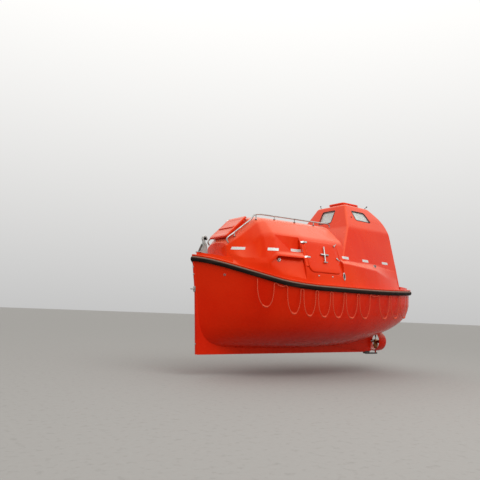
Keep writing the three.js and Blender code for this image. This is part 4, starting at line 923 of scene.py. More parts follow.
def tower_rings(heights, wall, soften, corner):
    """Rounded four-sided rings at the given heights, drawn in by the wall."""
    rings = []
    for z, ease in heights:
        softer = min(soften, 0.5 * max(TOWER_TOP - z, 0) + 1)
        aft_soften = 0 if z > TOWER_TOP - TOP_BAND else 4 * softer
        x0 = tower_value(z, "fore_x") - wall * 1.12 - ease
        x1 = tower_value(z, "aft_x", min(aft_soften, TOWER_TOP - z)) + wall * 1.05 + ease
        y0 = tower_value(z, "fore_y", softer) - wall * 1.15 - ease
        y1 = tower_value(z, "aft_y", softer) - wall * 1.15 - ease
        ring = rounded([(x0, y0), (x1, y1), (x1, -y1), (x0, -y0)], corner, 7)
        rings.append(np.column_stack([ring, np.full(len(ring), z)]))
    return drawn(np.stack(rings))


turns = np.radians([0, 18, 36, 54, 72, 90])
levels = [(z, 0.0) for z in np.linspace(1270, TOWER_TOP - TOP_EASE, 61)] + [
    (TOWER_TOP - TOP_EASE * (1 - math.sin(a)), TOP_EASE * (1 - math.cos(a))) for a in turns[1:]]
tower = loft("tower", tower_rings(levels, 0.0, 30.0, TOWER_CORNER))
hollow_levels = [(z, 0.0) for z in (1150, 1650, 2330, 2580, TOWER_TOP - CANOPY_WALL)]
tower_hollow = loft("tower_hollow", tower_rings(hollow_levels, CANOPY_WALL, 0.0, 30.0))
print("tower levels:", len(levels))

# %% [markdown]
# Flange, decks and the recesses in the side come next. Then everything is added up and the hollows
# are cut out. The faces could be modelled by hand round every opening, but adding and cutting whole
# bodies is how such a mould is thought out, and it gives true openings with a wall thickness.

# %% Flange between hull and canopy
FLANGE_LOW, FLANGE_HIGH = HULL_TOP_RISE + GAP, HULL_TOP_RISE + GAP + FLANGE_THICKNESS
flange = torus_loft("flange", np.stack([sheer_ring(out, up, fender_angles) for out, up in [
    (-FLANGE_IN, FLANGE_LOW), (FLANGE_OUT - 5, FLANGE_LOW), (FLANGE_OUT - 1, FLANGE_LOW + 2),
    (FLANGE_OUT, FLANGE_LOW + 7), (FLANGE_OUT, FLANGE_HIGH - 7), (FLANGE_OUT - 1, FLANGE_HIGH - 2),
    (FLANGE_OUT - 5, FLANGE_HIGH), (-FLANGE_IN, FLANGE_HIGH)]]))
print("flange faces:", len(flange.data.polygons))

# %% Fore and aft decks
DECK_FORE_Z, DECK_FORE_X, DECK_RISE, DECK_AFT_Z = 1600.0, 2180.0, 0.22, 1290.0
deck_low = sheer_ring(-BASE_INSET, HULL_TOP_RISE + 8, angles)
fore_deck = loft("fore_deck", np.stack([deck_low, sheer_ring(-60, 0, angles, level=1760)]))
fore_keep = hull_around("fore_keep", [
    (x, y, z) for x in (1960, 2512) for y in (-900, 900)
    for z in (1300, DECK_FORE_Z + DECK_RISE * (x - DECK_FORE_X))])
fore_deck = boolean(fore_deck, [fore_keep], "INTERSECT")
aft_deck = loft("aft_deck", np.stack([deck_low, sheer_ring(-44, 0, angles, level=1700)]))
aft_keep = hull_around("aft_keep", [(x, y, z) for x in (-1640, -2600) for y in (-1100, 1100)
                                    for z in (1100, DECK_AFT_Z)])
aft_deck = boolean(aft_deck, [aft_keep], "INTERSECT")
print("deck faces:", len(fore_deck.data.polygons), len(aft_deck.data.polygons))

# %% Recesses in the side
RECESS_WALL = 40.0
LOWER_RECESS = [(1494, 822, 868, 1474), (1360, 790, 940, 1614), (890, 912, 1110, 1606),
                (1400, 884, 940, 1340), (890, 1018, 1110, 1268)]
UPPER_RECESS = [(1365, 708, 790, 1990), (1090, 792, 920, 1706), (880, 802, 960, 1706),
                (880, 786, 900, 1970)]


def recess(name, rows, wall=0.0, side=1):
    """Convex body between an inner and an outer edge at each row; with a wall, the block that closes
    it from inside."""
    low = 0.4 * wall
    return hull_around(name, [p for x, inner_y, outer_y, z in rows for p in (
        (x, side * (inner_y - wall), z - low), (x, side * outer_y, z + low),
        (x, side * (inner_y - wall), z + low), (x, side * outer_y, z - low))])


def both(make):
    """A body made for port and for starboard."""
    return [make(1), make(-1)]


keep_shell = loft("keep_shell", full_rings(fine_x, shell_half))


def within_shell(body):
    """The part of a body that lies inside the moulding's outer skin."""
    keep = keep_shell.copy()
    keep.data = keep_shell.data.copy()
    bpy.context.scene.collection.objects.link(keep)
    return boolean(body, [keep], "INTERSECT")


sunk = [(rows, side) for rows in (LOWER_RECESS, UPPER_RECESS) for side in (1, -1)]
backings = [within_shell(recess("backing", rows, RECESS_WALL, side)) for rows, side in sunk]
recesses = [recess("recess", rows, 0.0, side) for rows, side in sunk]

canopy = boolean(shell, [tower, flange, fore_deck, aft_deck], "UNION")
canopy = boolean(canopy, [hollow, tower_hollow], "DIFFERENCE")
canopy = boolean(canopy, backings, "UNION")
canopy = boolean(canopy, recesses, "DIFFERENCE")
print("canopy faces so far:", len(canopy.data.polygons))

# %% [markdown]
# Doors, lids and panes lie on faces that lean or slope, and each opening has to match what closes it.
# A plane could be an empty that pieces are parented to. Here it is a function that places flat
# outlines, so that an opening, its lid and its gasket share one outline and one plane.

# %% The side doors' plane, and the lining round each doorway
DOOR = dict(aft=120.0, fore=820.0, low=1395.0, high=1925.0, lip=26.0)
DOOR_FOOT_Y, DOOR_FOOT_Z, DOOR_HEAD_Y, DOOR_HEAD_Z = 1030, 1380, 806, 1960
DOOR_LEAN = math.atan((DOOR_FOOT_Y - DOOR_HEAD_Y) / (DOOR_HEAD_Z - DOOR_FOOT_Z))
LINING_REACH, LINING_DEPTH, LINING_OUT = 70, 26, 5


def door_plane(side):
    """Plane of a side door: x along the boat, z up, and the height square out from the plane."""
    def place(p, out):
        inboard = (p[:, 1] - DOOR_FOOT_Z) * math.tan(DOOR_LEAN)
        y = DOOR_FOOT_Y - inboard + out * math.cos(DOOR_LEAN)
        return np.stack([p[:, 0], side * y, p[:, 1] + out * math.sin(DOOR_LEAN)], 1)
    return place


def door_outline(shrink):
    """The door's outline drawn in, with wide corners below and small ones above."""
    x0, x1 = DOOR["aft"] + shrink, DOOR["fore"] - shrink
    z0, z1 = DOOR["low"] + shrink, DOOR["high"] - shrink
    return rounded([(x0, z0), (x1, z0), (x1, z1), (x0, z1)], [92, 92, 40, 40], 8)


linings = both(lambda side: within_shell(plate(
    "lining", door_outline(-LINING_REACH), [(0, -LINING_DEPTH), (0, LINING_OUT)],
    door_plane(side))))
bpy.data.objects.remove(keep_shell)
canopy = boolean(canopy, linings, "UNION")
print("doors lean in by", round(math.degrees(DOOR_LEAN), 1), "degrees")

# %% Planes of the hatches and windows
SLOPE_LOW, SLOPE_HIGH, SLOPE_LOW_Z, SLOPE_HIGH_Z = 1985.0, 1510.0, 1828, 2286
SLOPE_RISE = (SLOPE_HIGH_Z - SLOPE_LOW_Z) / (SLOPE_LOW - SLOPE_HIGH)
SLOPE_ANGLE = math.atan(SLOPE_RISE)


def slope_plane(p, out):
    """Plane of the sloping front: x along the boat, y across, and the height square out from it."""
    z = SLOPE_LOW_Z + (SLOPE_LOW - p[:, 0]) * SLOPE_RISE + out * math.cos(SLOPE_ANGLE)
    return np.stack([p[:, 0] + out * math.sin(SLOPE_ANGLE), p[:, 1], z], 1)


def top_plane(p, up):
    """The tower's top: x, y, and the height above it."""
    return np.stack([p[:, 0], p[:, 1], np.full(len(p), TOWER_TOP + up)], 1)


def end_plane(key):
    """The tower's fore or aft face: y across, z up, and the distance ahead of the face."""
    def place(p, ahead):
        return np.stack([tower_value(p[:, 1], key) + ahead, p[:, 0], p[:, 1]], 1)
    return place


def flank_plane(side):
    """The tower's side: x along the boat, z up, and the distance outboard of it."""
    def place(p, out):
        return np.stack([p[:, 0], side * (flank_y(p[:, 0], p[:, 1]) + out), p[:, 1]], 1)
    return place


def box_outline(x0, x1, half, radius):
    """Rectangle with rounded corners, across the boat's middle."""
    return rounded([(x0, -half), (x0, half), (x1, half), (x1, -half)], radius, 7)


def upright_outline(half, low, high, radius, steps):
    """Rectangle with rounded corners that stands on the tower's fore or aft face."""
    return rounded([(-half, low), (half, low), (half, high), (-half, high)], radius, steps)


print("front slopes at", round(math.degrees(SLOPE_ANGLE), 1), "degrees")

# %% Outlines of the hatches and windows
HATCH = dict(low=1922.0, high=1555.0, half=250.0, plate=34.0, coaming=36.0, rim=40.0, inset=20.0)
LID = dict(fore=-752.0, aft=-1185.0, half=200.0, plate=34.0, coaming=52.0, rim=32.0, inset=12.0)
AFT_HATCH = dict(low=1600.0, high=2060.0, half=225.0, plate=26.0, rim=28.0)
FRONT_WINDOW = upright_outline(165, 2458, 2712, 34, 6)
BACK_WINDOW = upright_outline(165, 2372, 2552, 34, 6)
SIDE_WINDOW = rounded([(-745, 2502), (-1164, 2502), (-1084, 2690), (-721, 2690)], 34, 6)
print("side window", round(float(np.ptp(SIDE_WINDOW[:, 0]))), "mm long")

# %% Cut the openings
POCKET_ENDS = (55.0, 905.0)
POCKET_SHAPE = [(1368, 1034.6), (1368, 1300), (2102, 1300), (1972, 801.4)]
pockets = both(lambda side: loft("pocket", drawn([
    [(x, side * y, z) for z, y in POCKET_SHAPE] for x in POCKET_ENDS])))
doorways = both(lambda side: plate("doorway", door_outline(DOOR["lip"]), [(0, -260), (0, 60)],
                                   door_plane(side)))
coaming_low, coaming_high = HATCH["low"] - HATCH["inset"], HATCH["high"] + HATCH["inset"]
coaming_half = HATCH["half"] - HATCH["inset"]
coaming = plate("coaming", box_outline(coaming_low, coaming_high, coaming_half, 50),
                [(0, -40), (0, HATCH["coaming"] - 4), (4, HATCH["coaming"])], slope_plane)
hatchway = plate("hatchway", box_outline(
    coaming_low - HATCH["rim"], coaming_high + HATCH["rim"], coaming_half - HATCH["rim"], 40), [
    (0, -200), (0, 90)], slope_plane)
rim_in, way_in = LID["inset"], LID["inset"] + LID["rim"]
top_rim = plate("top_rim", box_outline(
    LID["fore"] - rim_in, LID["aft"] + rim_in, LID["half"] - rim_in, 40), [
    (0, -20), (0, LID["coaming"] - 4), (4, LID["coaming"])], top_plane)
top_way = plate("top_way", box_outline(
    LID["fore"] - way_in, LID["aft"] + way_in, LID["half"] - way_in, 30), [
    (0, -120), (0, 90)], top_plane)
aft_way = plate("aft_way", upright_outline(
    AFT_HATCH["half"] - AFT_HATCH["rim"], AFT_HATCH["low"] + AFT_HATCH["rim"],
    AFT_HATCH["high"] - AFT_HATCH["rim"], 40, 6), [(0, -220), (0, 160)], end_plane("aft_x"))
openings = [
    plate("front_opening", FRONT_WINDOW, [(0, -120), (0, 60)], end_plane("fore_x")),
    plate("back_opening", BACK_WINDOW, [(0, -60), (0, 120)], end_plane("aft_x")),
] + both(lambda side: plate("side_opening", SIDE_WINDOW, [(0, -120), (0, 60)], flank_plane(side)))
canopy = boolean(canopy, pockets, "DIFFERENCE")
canopy = boolean(canopy, [coaming, top_rim], "UNION")
canopy = boolean(canopy, doorways + [hatchway, top_way, aft_way] + openings, "DIFFERENCE")
finished(canopy, canopy_gelcoat, replaces=["canopy_shell"], angle=30)
print("canopy triangles:", sum(len(f.vertices) - 2 for f in canopy.data.polygons))

# %% [markdown]
# Each side door is a moulded leaf that lies on the rim of its opening, with a plug behind it. The
# leaf has eased edges and a shallow raised panel. A bevelled box would give the edges but not the
# panel, so it is made with the plate recipe on the door's leaning plane. A strip hinge runs along
# its fore edge, and a long lever turns the dogs inside.

# %% Side doors
SEAT, DOOR_PLATE, DOOR_PLUG = 0.6, 24.0, 42.0
HINGE = dict(beside=16.0, barrel=8.0, leaf=2.5, reach=46.0, half=175.0, low=1480.0, high=1840.0,
             off=14.0)
HANDLE = dict(x=445.0, low=1560.0, mid=1690.0, high=1832.0, lean=25.0, cross=90.0)


def door_point(side, x, z, out):
    """One point of the door's plane at a distance out from it."""
    return door_plane(side)(np.array([[x, z]]), out)[0]


def side_door(side, word):
    """Leaf with eased edges and a raised panel, and the plug behind it."""
    top = SEAT + DOOR_PLATE
    leaf = plate(f"door_leaf_{word}", door_outline, [
        (3, SEAT), (0, SEAT + 3), (0, top - 8), (2, top - 3), (8, top - 0.5), (30, top + 1),
        (70, top + 2)], door_plane(side))
    plug = plate("plug", door_outline(DOOR["lip"] + 10), [
        (6, -DOOR_PLUG), (0, -DOOR_PLUG + 6), (0, SEAT + 4)], door_plane(side))
    return joined(f"door_leaf_{word}", [leaf, plug])


def door_handle(side, word):
    """Boss, long lever with a rounded end, its cross bar and foot, all of round steel."""
    x, low, mid, high, lean, cross = HANDLE.values()

    def point(px, pz, d):
        return door_point(side, px, pz, SEAT + DOOR_PLATE + d)
    return joined(f"door_handle_{word}_lever", [
        bar("boss", point(x, mid, GAP), point(x, mid, 34), 22, 28, 4),
        bar("lever", point(x - lean, high, 26), point(x + lean, low, 26), 11, 16, 4),
        bar("foot", point(x - 24, low, 26), point(x + 62, low, 26), 10, 16, 4),
        bar("cross", point(x - cross, mid, 20), point(x + cross, mid, 20), 15, 16, 4)])


def bent_leaf(side, section, low, high):
    """Plate of a bent section, given as places along the boat and out from the door's plane."""
    return loft("leaf", drawn([[door_point(side, px, z, d) for px, d in section]
                               for z in (low, high)]))


def door_hinge(side, word):
    """Barrel on the turning axis and the leaf that is screwed to the canopy beside it."""
    x, out = DOOR["fore"] + HINGE["beside"], SEAT + DOOR_PLATE
    section = [(x - 3, out - 3), (x + 3, out + 3), (x + 44, GAP + 5), (x + 44, GAP), (x + 12, GAP)]
    leaf = bent_leaf(side, section, HINGE["low"], HINGE["high"])
    barrel = bar("barrel", door_point(side, x, HINGE["low"], out),
                 door_point(side, x, HINGE["high"], out), HINGE["barrel"], 20, 2)
    return joined(f"door_hinge_{word}_strip", [barrel, leaf])


for side, word in SIDES:
    door_body = f"{word}_door"
    finished(side_door(side, word), canopy_gelcoat, door_body,
             [f"side_door_{word}"])
    finished(door_handle(side, word), stainless, door_body, [f"door_handle_{word}"])
    finished(door_hinge(side, word), canopy_gelcoat, "boat",
             [f"door_hinge_{word}"])
print("side doors with handle and hinge:", len(SIDES))

# %% [markdown]
# Three lids close the hatches: one on the sloping front, one on the tower's top and one in its aft
# face. Each is the same kind of plate as the doors, on its own plane, and turns on a strip hinge.
# One function for all three hinges keeps them alike: only the pin and the foot differ.

# %% Fore lid with its rib
LID_OVER, PANEL_IN = 14, 58
hatch_base = HATCH["coaming"] + SEAT
hatch_top = hatch_base + HATCH["plate"]
fore_lid = plate("fore_lid", lambda i: box_outline(
    HATCH["low"] + LID_OVER - i, HATCH["high"] - LID_OVER + i, HATCH["half"] + 8 - i, 34), [
    (4, hatch_base), (0, hatch_base + 4), (0, hatch_top - 9), (3, hatch_top - 3), (9, hatch_top),
    (PANEL_IN, hatch_top), (PANEL_IN + 8, hatch_top - 4)], slope_plane)
rib = plate("rib", box_outline(
    HATCH["low"] - 150, HATCH["low"] - 185, HATCH["half"] - 30, 12), [
    (0, hatch_top - 8), (0, hatch_top + 6), (6, hatch_top + 12)], slope_plane)
fore_lid = joined("fore_lid", [fore_lid, rib])
finished(fore_lid, canopy_gelcoat, "fore_hatch", ["fore_hatch_lid"])
print("fore lid stands", round(hatch_top), "mm off the slope")

# %% Tower lid with its grip
lid_low = LID["coaming"] + SEAT
lid_high = lid_low + LID["plate"]
top_lid = plate("tower_lid", lambda i: box_outline(
    LID["fore"] - i, LID["aft"] + i, LID["half"] - i, 44), [
    (4, lid_low), (0, lid_low + 4), (0, lid_high - 11), (4, lid_high - 4), (12, lid_high - 1),
    (80, lid_high)], top_plane)
grip_x, grip_z = LID["fore"] - 122, TOWER_TOP + lid_high
grip_half = [(60, -4), (60, 12), (56, 21), (46, 24)]
lid_grip, _ = tube("lid_grip", drawn(
    [(grip_x, -y, grip_z + up) for y, up in grip_half]
    + [(grip_x, y, grip_z + up) for y, up in grip_half[::-1]]), 0.007, 12)
top_lid = joined("tower_lid", [top_lid, lid_grip])
finished(top_lid, canopy_gelcoat, "tower_hatch", ["tower_hatch_lid"])
print("tower lid", round(LID["fore"] - LID["aft"]), "mm long")


# %% Aft leaf with its plug
def aft_outline(shrink):
    """The aft hatch's outline drawn in, with rounded corners."""
    return upright_outline(AFT_HATCH["half"] - shrink, AFT_HATCH["low"] + shrink,
                           AFT_HATCH["high"] - shrink, 44, 7)


aft_leaf = plate("aft_leaf", aft_outline, [
    (4, -SEAT), (0, -SEAT - 4), (0, -SEAT - 19), (3, -SEAT - 24), (9, -SEAT - 26), (46, -SEAT - 26),
    (54, -SEAT - 22)], end_plane("aft_x"))
aft_plug = plate("aft_plug", aft_outline(38), [(4, 38), (0, 33), (0, -5)], end_plane("aft_x"))
aft_leaf = joined("aft_leaf", [aft_leaf, aft_plug])
finished(aft_leaf, canopy_gelcoat, "aft_hatch", ["aft_hatch_lid"])
print("aft leaf", round(AFT_HATCH["high"] - AFT_HATCH["low"]), "mm tall")


# %% Hinges of the three lids
def lid_hinge(name, pin, foot, replaced):
    """Barrel across the boat on the lid's turning axis, and a thin leaf down to its foot."""
    half, (px, pz), (fx, fz) = HINGE["half"], pin, foot
    run = np.array([fx - px, fz - pz]) / math.hypot(fx - px, fz - pz)
    off = np.array([-run[1], run[0]]) * HINGE["leaf"]
    corners = [(px - off[0], pz - off[1]), (px + off[0], pz + off[1]), (fx + off[0], fz + off[1]),
               (fx - off[0], fz - off[1])]
    leaf = loft("leaf", drawn([[(x, y, z) for x, z in corners] for y in (-half, half)]))
    barrel = bar("barrel", (px, -half, pz), (px, half, pz), HINGE["barrel"], 20, 2)
    return finished(joined(name, [barrel, leaf]), stainless, "boat", [replaced])


def slope_point(x, up_slope, out):
    """Point beside the sloping front: along it, then up the slope and square out from it."""
    base = slope_plane(np.array([[x, 0.0]]), out)[0]
    return base[0] - up_slope * math.cos(SLOPE_ANGLE), base[2] + up_slope * math.sin(SLOPE_ANGLE)


fore_foot = SLOPE_HIGH - 10
fore_foot_z = float(spread(STATIONS, fore_foot, "ridge_z")) + HINGE["leaf"] + GAP
lid_hinge("fore_lid_hinge", slope_point(HATCH["high"] - LID_OVER, HINGE["off"], hatch_base),
          (fore_foot, fore_foot_z), "fore_hatch_hinge")
lid_pin = LID["aft"] - HINGE["off"]
top_leaf = HINGE["leaf"] * math.cos(math.atan2(LID["coaming"], HINGE["reach"]))
lid_hinge("tower_lid_hinge", (lid_pin, TOWER_TOP + lid_low),
          (lid_pin - HINGE["reach"], TOWER_TOP + top_leaf + GAP), "tower_hatch_hinge")
aft_pin = AFT_HATCH["high"] + HINGE["off"]


def back_x(z):
    """Place of the tower's aft face at a height."""
    return float(tower_value(np.array(z, float), "aft_x"))


lid_hinge("aft_leaf_hinge", (back_x(aft_pin) - SEAT - AFT_HATCH["plate"], aft_pin),
          (back_x(aft_pin + HINGE["reach"]) - HINGE["leaf"] - GAP, aft_pin + HINGE["reach"]),
          "aft_hatch_hinge")
print("lid hinges", round(2 * HINGE["half"]), "mm wide")

# %% [markdown]
# The tower's four windows are clear sheets held in a black rubber profile. A pane by itself would
# look like a hole, so each gets its gasket: a strip carried round the pane's outline that covers the
# edge of the opening, as the real one does.

# %% Windows and gaskets
PANE_THICK, PANE_DEPTH = 8.0, 30.0
SECTION = [(-8, 0.8), (-8, 4), (-5, 6), (3, 5), (6, 2), (6, -10), (1.5, -12), (1.5, 0.8)]


def window(name, outline_points, place, direction, replaced):
    """Pane within the wall and the gasket on its edge; direction is 1 where outside is positive."""
    near, far = -PANE_DEPTH * direction, (PANE_THICK - PANE_DEPTH) * direction
    pane = plate(f"pane_{name}", outline_points, [(GAP + 1, near), (GAP, near + direction),
                                                  (GAP, far - direction), (GAP + 1, far)], place)
    finished(pane, windows, "boat", [replaced])
    seal = strip(f"gasket_{name}", outline_points, [(i, h * direction) for i, h in SECTION], place)
    return finished(seal, gasket)


window("fore", FRONT_WINDOW, end_plane("fore_x"), 1, "window_front")
window("aft", BACK_WINDOW, end_plane("aft_x"), -1, "window_aft")
window("port", SIDE_WINDOW, flank_plane(1), 1, "window_port")
window("starboard", SIDE_WINDOW, flank_plane(-1), 1, "window_starboard")
print("panes lie", PANE_DEPTH, "mm in from the outer face")

# %% [markdown]
# The handrails are bent from one length of steel tube each: up beside the hatch, along the roof's
# edge and down at its aft end. A bevelled curve object would need its handles set by hand at each
# bend. Here a smooth line through the bends carries the tube, and posts with a flared foot stand
# under it.

# %% Handrails
RAIL_LINE = [(1950, 288, 1812), (1980, 290, 1868), (1850, 312, 1990), (1700, 350, 2124),
             (1575, 390, 2238), (1525, 400, 2310), (1440, 400, 2332), (1100, 400, 2344),
             (600, 400, 2354), (100, 400, 2361), (-150, 400, 2364), (-192, 400, 2346),
             (-198, 400, 2312)]
RAIL_POSTS = [(1850, 312, 1990), (1490, 400, 2320), (1100, 400, 2344), (650, 400, 2353),
              (200, 400, 2359)]
POST_RADIUS = 9
POST_FOOT = [(22, 0), (22, 4), (16, 7), (9, 12)]


def through(points, count):
    """Evenly spaced points on a centripetal curve through the given ones: each piece is a cubic whose
    slopes come from its neighbours, weighed by the square root of their distances."""
    p = np.asarray(points, float)
    p = np.vstack([2 * p[0] - p[1], p, 2 * p[-1] - p[-2]])
    out = []
    for a, b, c, d in zip(p[:-3], p[1:-2], p[2:-1], p[3:]):
        t1 = np.linalg.norm(b - a) ** 0.5
        t2 = t1 + np.linalg.norm(c - b) ** 0.5
        t3 = t2 + np.linalg.norm(d - c) ** 0.5
        t = np.linspace(t1, t2, 24, endpoint=False)[:, None]
        a1 = (t1 - t) / t1 * a + t / t1 * b
        a2 = (t2 - t) / (t2 - t1) * b + (t - t1) / (t2 - t1) * c
        a3 = (t3 - t) / (t3 - t2) * c + (t - t2) / (t3 - t2) * d
        b1 = (t2 - t) / t2 * a1 + t / t2 * a2
        b2 = (t3 - t) / (t3 - t1) * a2 + (t - t1) / (t3 - t1) * a3
        out.append((t2 - t) / (t2 - t1) * b1 + (t - t1) / (t2 - t1) * b2)
    line = np.vstack(out + [p[-2:-1]])
    run = np.concatenate([[0], np.cumsum(np.linalg.norm(np.diff(line, axis=0), axis=1))])
    even = np.linspace(0, run[-1], count)
    return np.stack([np.interp(even, run, line[:, k]) for k in range(3)], 1)


def roof_seat(x, y):
    """Height of the roof's edge under a post: a straight slope across the roof's corner."""
    roof_y, roof_z = (float(spread(STATIONS, x - POST_RADIUS, key)) for key in ("roof_y", "roof_z"))
    return roof_z + 12 - (y - POST_RADIUS - roof_y + 40) / 80 * 46


rail_path = through(RAIL_LINE, 150)
for side, word in SIDES:
    turn = np.array([1, side, 1])
    pieces = [tube("rail", drawn(rail_path * turn), 0.0125, 16)[0]]
    for x, y, z in RAIL_POSTS:
        foot = roof_seat(x, y) + GAP
        post = [(x, side * y, foot + up) for _, up in POST_FOOT] + [(x, side * y, z)]
        radii = np.array([r for r, _ in POST_FOOT] + [POST_RADIUS]) / 1000
        pieces.append(tube("post", drawn(post), radii, 16)[0])
    finished(joined(f"roof_rail_{word}", pieces), stainless, "boat",
             [f"handrail_{word}"])
rail_length = float(np.linalg.norm(np.diff(rail_path, axis=0), axis=1).sum()) / 1000
print("rail length", round(rail_length, 2), "m")

# %% [markdown]
# The boat hangs from two release hooks. Each is a flat forging with an open jaw that turns on a pin
# between two cheeks. It could be sculpted, but a flat forging is an outline with a thickness. So the
# outline is drawn once as a polygon, its corners are rounded, and the plate recipe eases its edges.

# %% Release hooks and their stands
HOOKS = {"fore": (2262.0, 1618.0, 0.22, 150.0), "aft": (-2180.0, 1290.0, 0.0, 122.0)}
PIN_BACK, PIN_RADIUS, PIN_HALF, PIN_PLAY = 32.0, 13.0, 46.0, 0.5
HOOK_OUTLINE = [(-28, -26), (20, -30), (30, 10), (26, 60), (44, 92), (40, 134), (4, 158),
                (-38, 146), (-58, 112), (-52, 78), (-34, 84), (-32, 108), (-14, 124), (8, 118),
                (14, 98), (-14, 60), (-30, 20)]
HOOK_LAYERS = [(5, -17), (1.5, -15.5), (0, -12), (0, 12), (1.5, 15.5), (5, 17)]


def release_hook(word, pin_x, pin_z):
    """The forging with its bore, placed by the pin that it turns on."""
    shape = rounded(np.array(HOOK_OUTLINE) + (pin_x, pin_z), 12, 4)
    hook = plate(f"hook_{word}", shape, HOOK_LAYERS, upright)
    bore = bar("pin_bore", (pin_x, -60, pin_z), (pin_x, 60, pin_z), PIN_RADIUS + PIN_PLAY)
    return boolean(hook, [bore], "DIFFERENCE")


def hook_stand(word, hx, hz, rise, pin_x, pin_z):
    """Base plate on the deck's slope with two cheeks, the pin and four bolts."""
    def foot(x, up):
        return hx + x, hz + rise * x + up

    def head(x):
        return hx + x, pin_z + 25

    side_shape = rounded([foot(-88, 14.5), foot(58, 14.5), head(-6), head(-58)], [2, 2, 24, 24], 6)
    base_shape = rounded([foot(-110, GAP), foot(80, GAP), foot(80, 15), foot(-110, 15)], 3, 3)
    base = plate("stand_base", base_shape, [(3, -70), (0, -67), (0, 67), (3, 70)], upright)
    cheeks = [plate("cheek", side_shape, [(2, y), (0, y + 2), (0, y + 10), (2, y + 12)], upright)
              for y in (-PIN_HALF, PIN_HALF - 12)]
    pin = bar("pin", (pin_x, -PIN_HALF - 5, pin_z), (pin_x, PIN_HALF + 5, pin_z), PIN_RADIUS, 20, 3)
    bolts = [bar("stand_bolt", (hx + x, y, hz + rise * x + 12),
                 (hx + x, y, hz + rise * x + 22), 8, 6) for x in (-96, 66) for y in (-56, 56)]
    return joined(f"hook_stand_{word}_body", [base, pin] + cheeks + bolts)


for word, (hx, hz, rise, pin_up) in HOOKS.items():
    pin_x, pin_z = hx - PIN_BACK, hz + pin_up
    hook = release_hook(word, pin_x, pin_z)
    finished(hook, stainless, f"{word}_hook", [f"release_hook_{word}"])
    stand = hook_stand(word, hx, hz, rise, pin_x, pin_z)
    finished(stand, galvanised, "boat", [f"hook_stand_{word}"])
    print(word, "hook turns", round((pin_z - WATERLINE) / 1000, 3), "m above the waterline")

# %% [markdown]
# The propeller turns inside a steering nozzle: a ring with the section of a small wing, which turns
# with its stock to steer the boat. A Screw modifier could turn the ring's section round, but the
# same grid helper as for the fender does it in one call. The blades are twisted plates whose pitch
# angle falls towards the tip, as on any screw.

# %% Steering nozzle
NOZZLE_IN, NOZZLE_OUT, RING_STEPS = 174.0, 195.0, 96
foil = [(NOZZLE_IN, -102), (NOZZLE_IN + 4, -108), (NOZZLE_IN + 9, -110), (NOZZLE_OUT - 6, -100),
        (NOZZLE_OUT - 1.5, -50), (NOZZLE_OUT, 20), (NOZZLE_OUT - 1.5, 70), (NOZZLE_OUT - 5, 94),
        (NOZZLE_IN + 14, 109), (NOZZLE_IN + 9, 109), (NOZZLE_IN + 4, 102), (NOZZLE_IN + 1, 80),
        (NOZZLE_IN, 40), (NOZZLE_IN, -40)]
around = np.linspace(0, 2 * np.pi, RING_STEPS, endpoint=False)
nozzle = torus_loft("nozzle_ring", np.stack([drawn(np.stack([
    np.full(RING_STEPS, NOZZLE_X + along_x), r * np.sin(around), SHAFT_Z + r * np.cos(around)], -1))
    for r, along_x in foil]))
boss_top = SHAFT_Z + NOZZLE_OUT + 20
nozzle = joined("nozzle_ring", [
    nozzle, bar("boss", (NOZZLE_X, 0, boss_top - 30), (NOZZLE_X, 0, boss_top), 42, 32, 4),
    bar("pintle", (NOZZLE_X, 0, SHAFT_Z - NOZZLE_OUT + 8), (NOZZLE_X, 0, -30), 15, 20)])
finished(nozzle, hull_gelcoat, "nozzle", ["steering_nozzle"])
print("nozzle bore", 2 * NOZZLE_IN, "mm")

# %% Propeller
ROOT_RADIUS, TIP_RADIUS, PITCH_REACH, PROPELLER_BORE = 28, 158, 2.2, 17.3


def blade(turn_angle):
    """Chord by a sine of the radius, tangent of the pitch angle falling as one over it, thick at the
    root and thin at the tip and the edges."""
    r = np.linspace(ROOT_RADIUS, TIP_RADIUS, 22)[:, None]
    u = (r - ROOT_RADIUS) / (TIP_RADIUS - ROOT_RADIUS)
    chord = 30 + 66 * np.sin(np.pi * np.clip(0.16 + 0.80 * u, 0, 1)) ** 0.7 * (1 - 0.35 * u**6)
    chord = chord * np.sqrt(np.clip(1 - u**10, 0.02, 1))
    a = np.linspace(0, 2 * np.pi, 20, endpoint=False)[None, :]
    across = chord / 2 * np.cos(a)
    thick = (7.5 - 5.5 * u) * np.sin(a) * (1 - 0.3 * np.cos(a) ** 2)
    pitch = np.arctan(150 / (PITCH_REACH * r))
    along_x = across * np.sin(pitch) + thick * np.cos(pitch)
    round_it = across * np.cos(pitch) - thick * np.sin(pitch)
    angle = turn_angle + round_it / r
    return loft("blade", drawn(np.stack([
        NOZZLE_X + along_x, r * np.sin(angle), SHAFT_Z + r * np.cos(angle)], -1)))


hub_line = [(-1923, 30), (-1927, 35), (-1935, 36), (-2005, 36), (-2016, 34), (-2030, 28),
            (-2042, 20), (-2052, 11), (-2058, 3)]
hub, _ = tube("hub", drawn([(x, 0, SHAFT_Z) for x, r in hub_line]),
              np.array([r for x, r in hub_line]) / 1000, 32)
screw = joined("propeller_screw", [hub] + [blade(k * np.pi / 2) for k in range(4)])
bore = bar("bore", (-1900, 0, SHAFT_Z), (-1990, 0, SHAFT_Z), PROPELLER_BORE)
screw = boolean(screw, [bore], "DIFFERENCE")
finished(screw, bronze, "screw", ["propeller"], angle=40)
print("propeller", 2 * TIP_RADIUS, "mm across")

# %% [markdown]
# The smaller working parts are plain turned or bent steel: the stock that turns the nozzle, the
# shaft, the towing eye and two lamps on leaning rods. Each could be a primitive with modifiers, but
# the bars, tubes and plates of the earlier helpers are enough and put them straight in place.

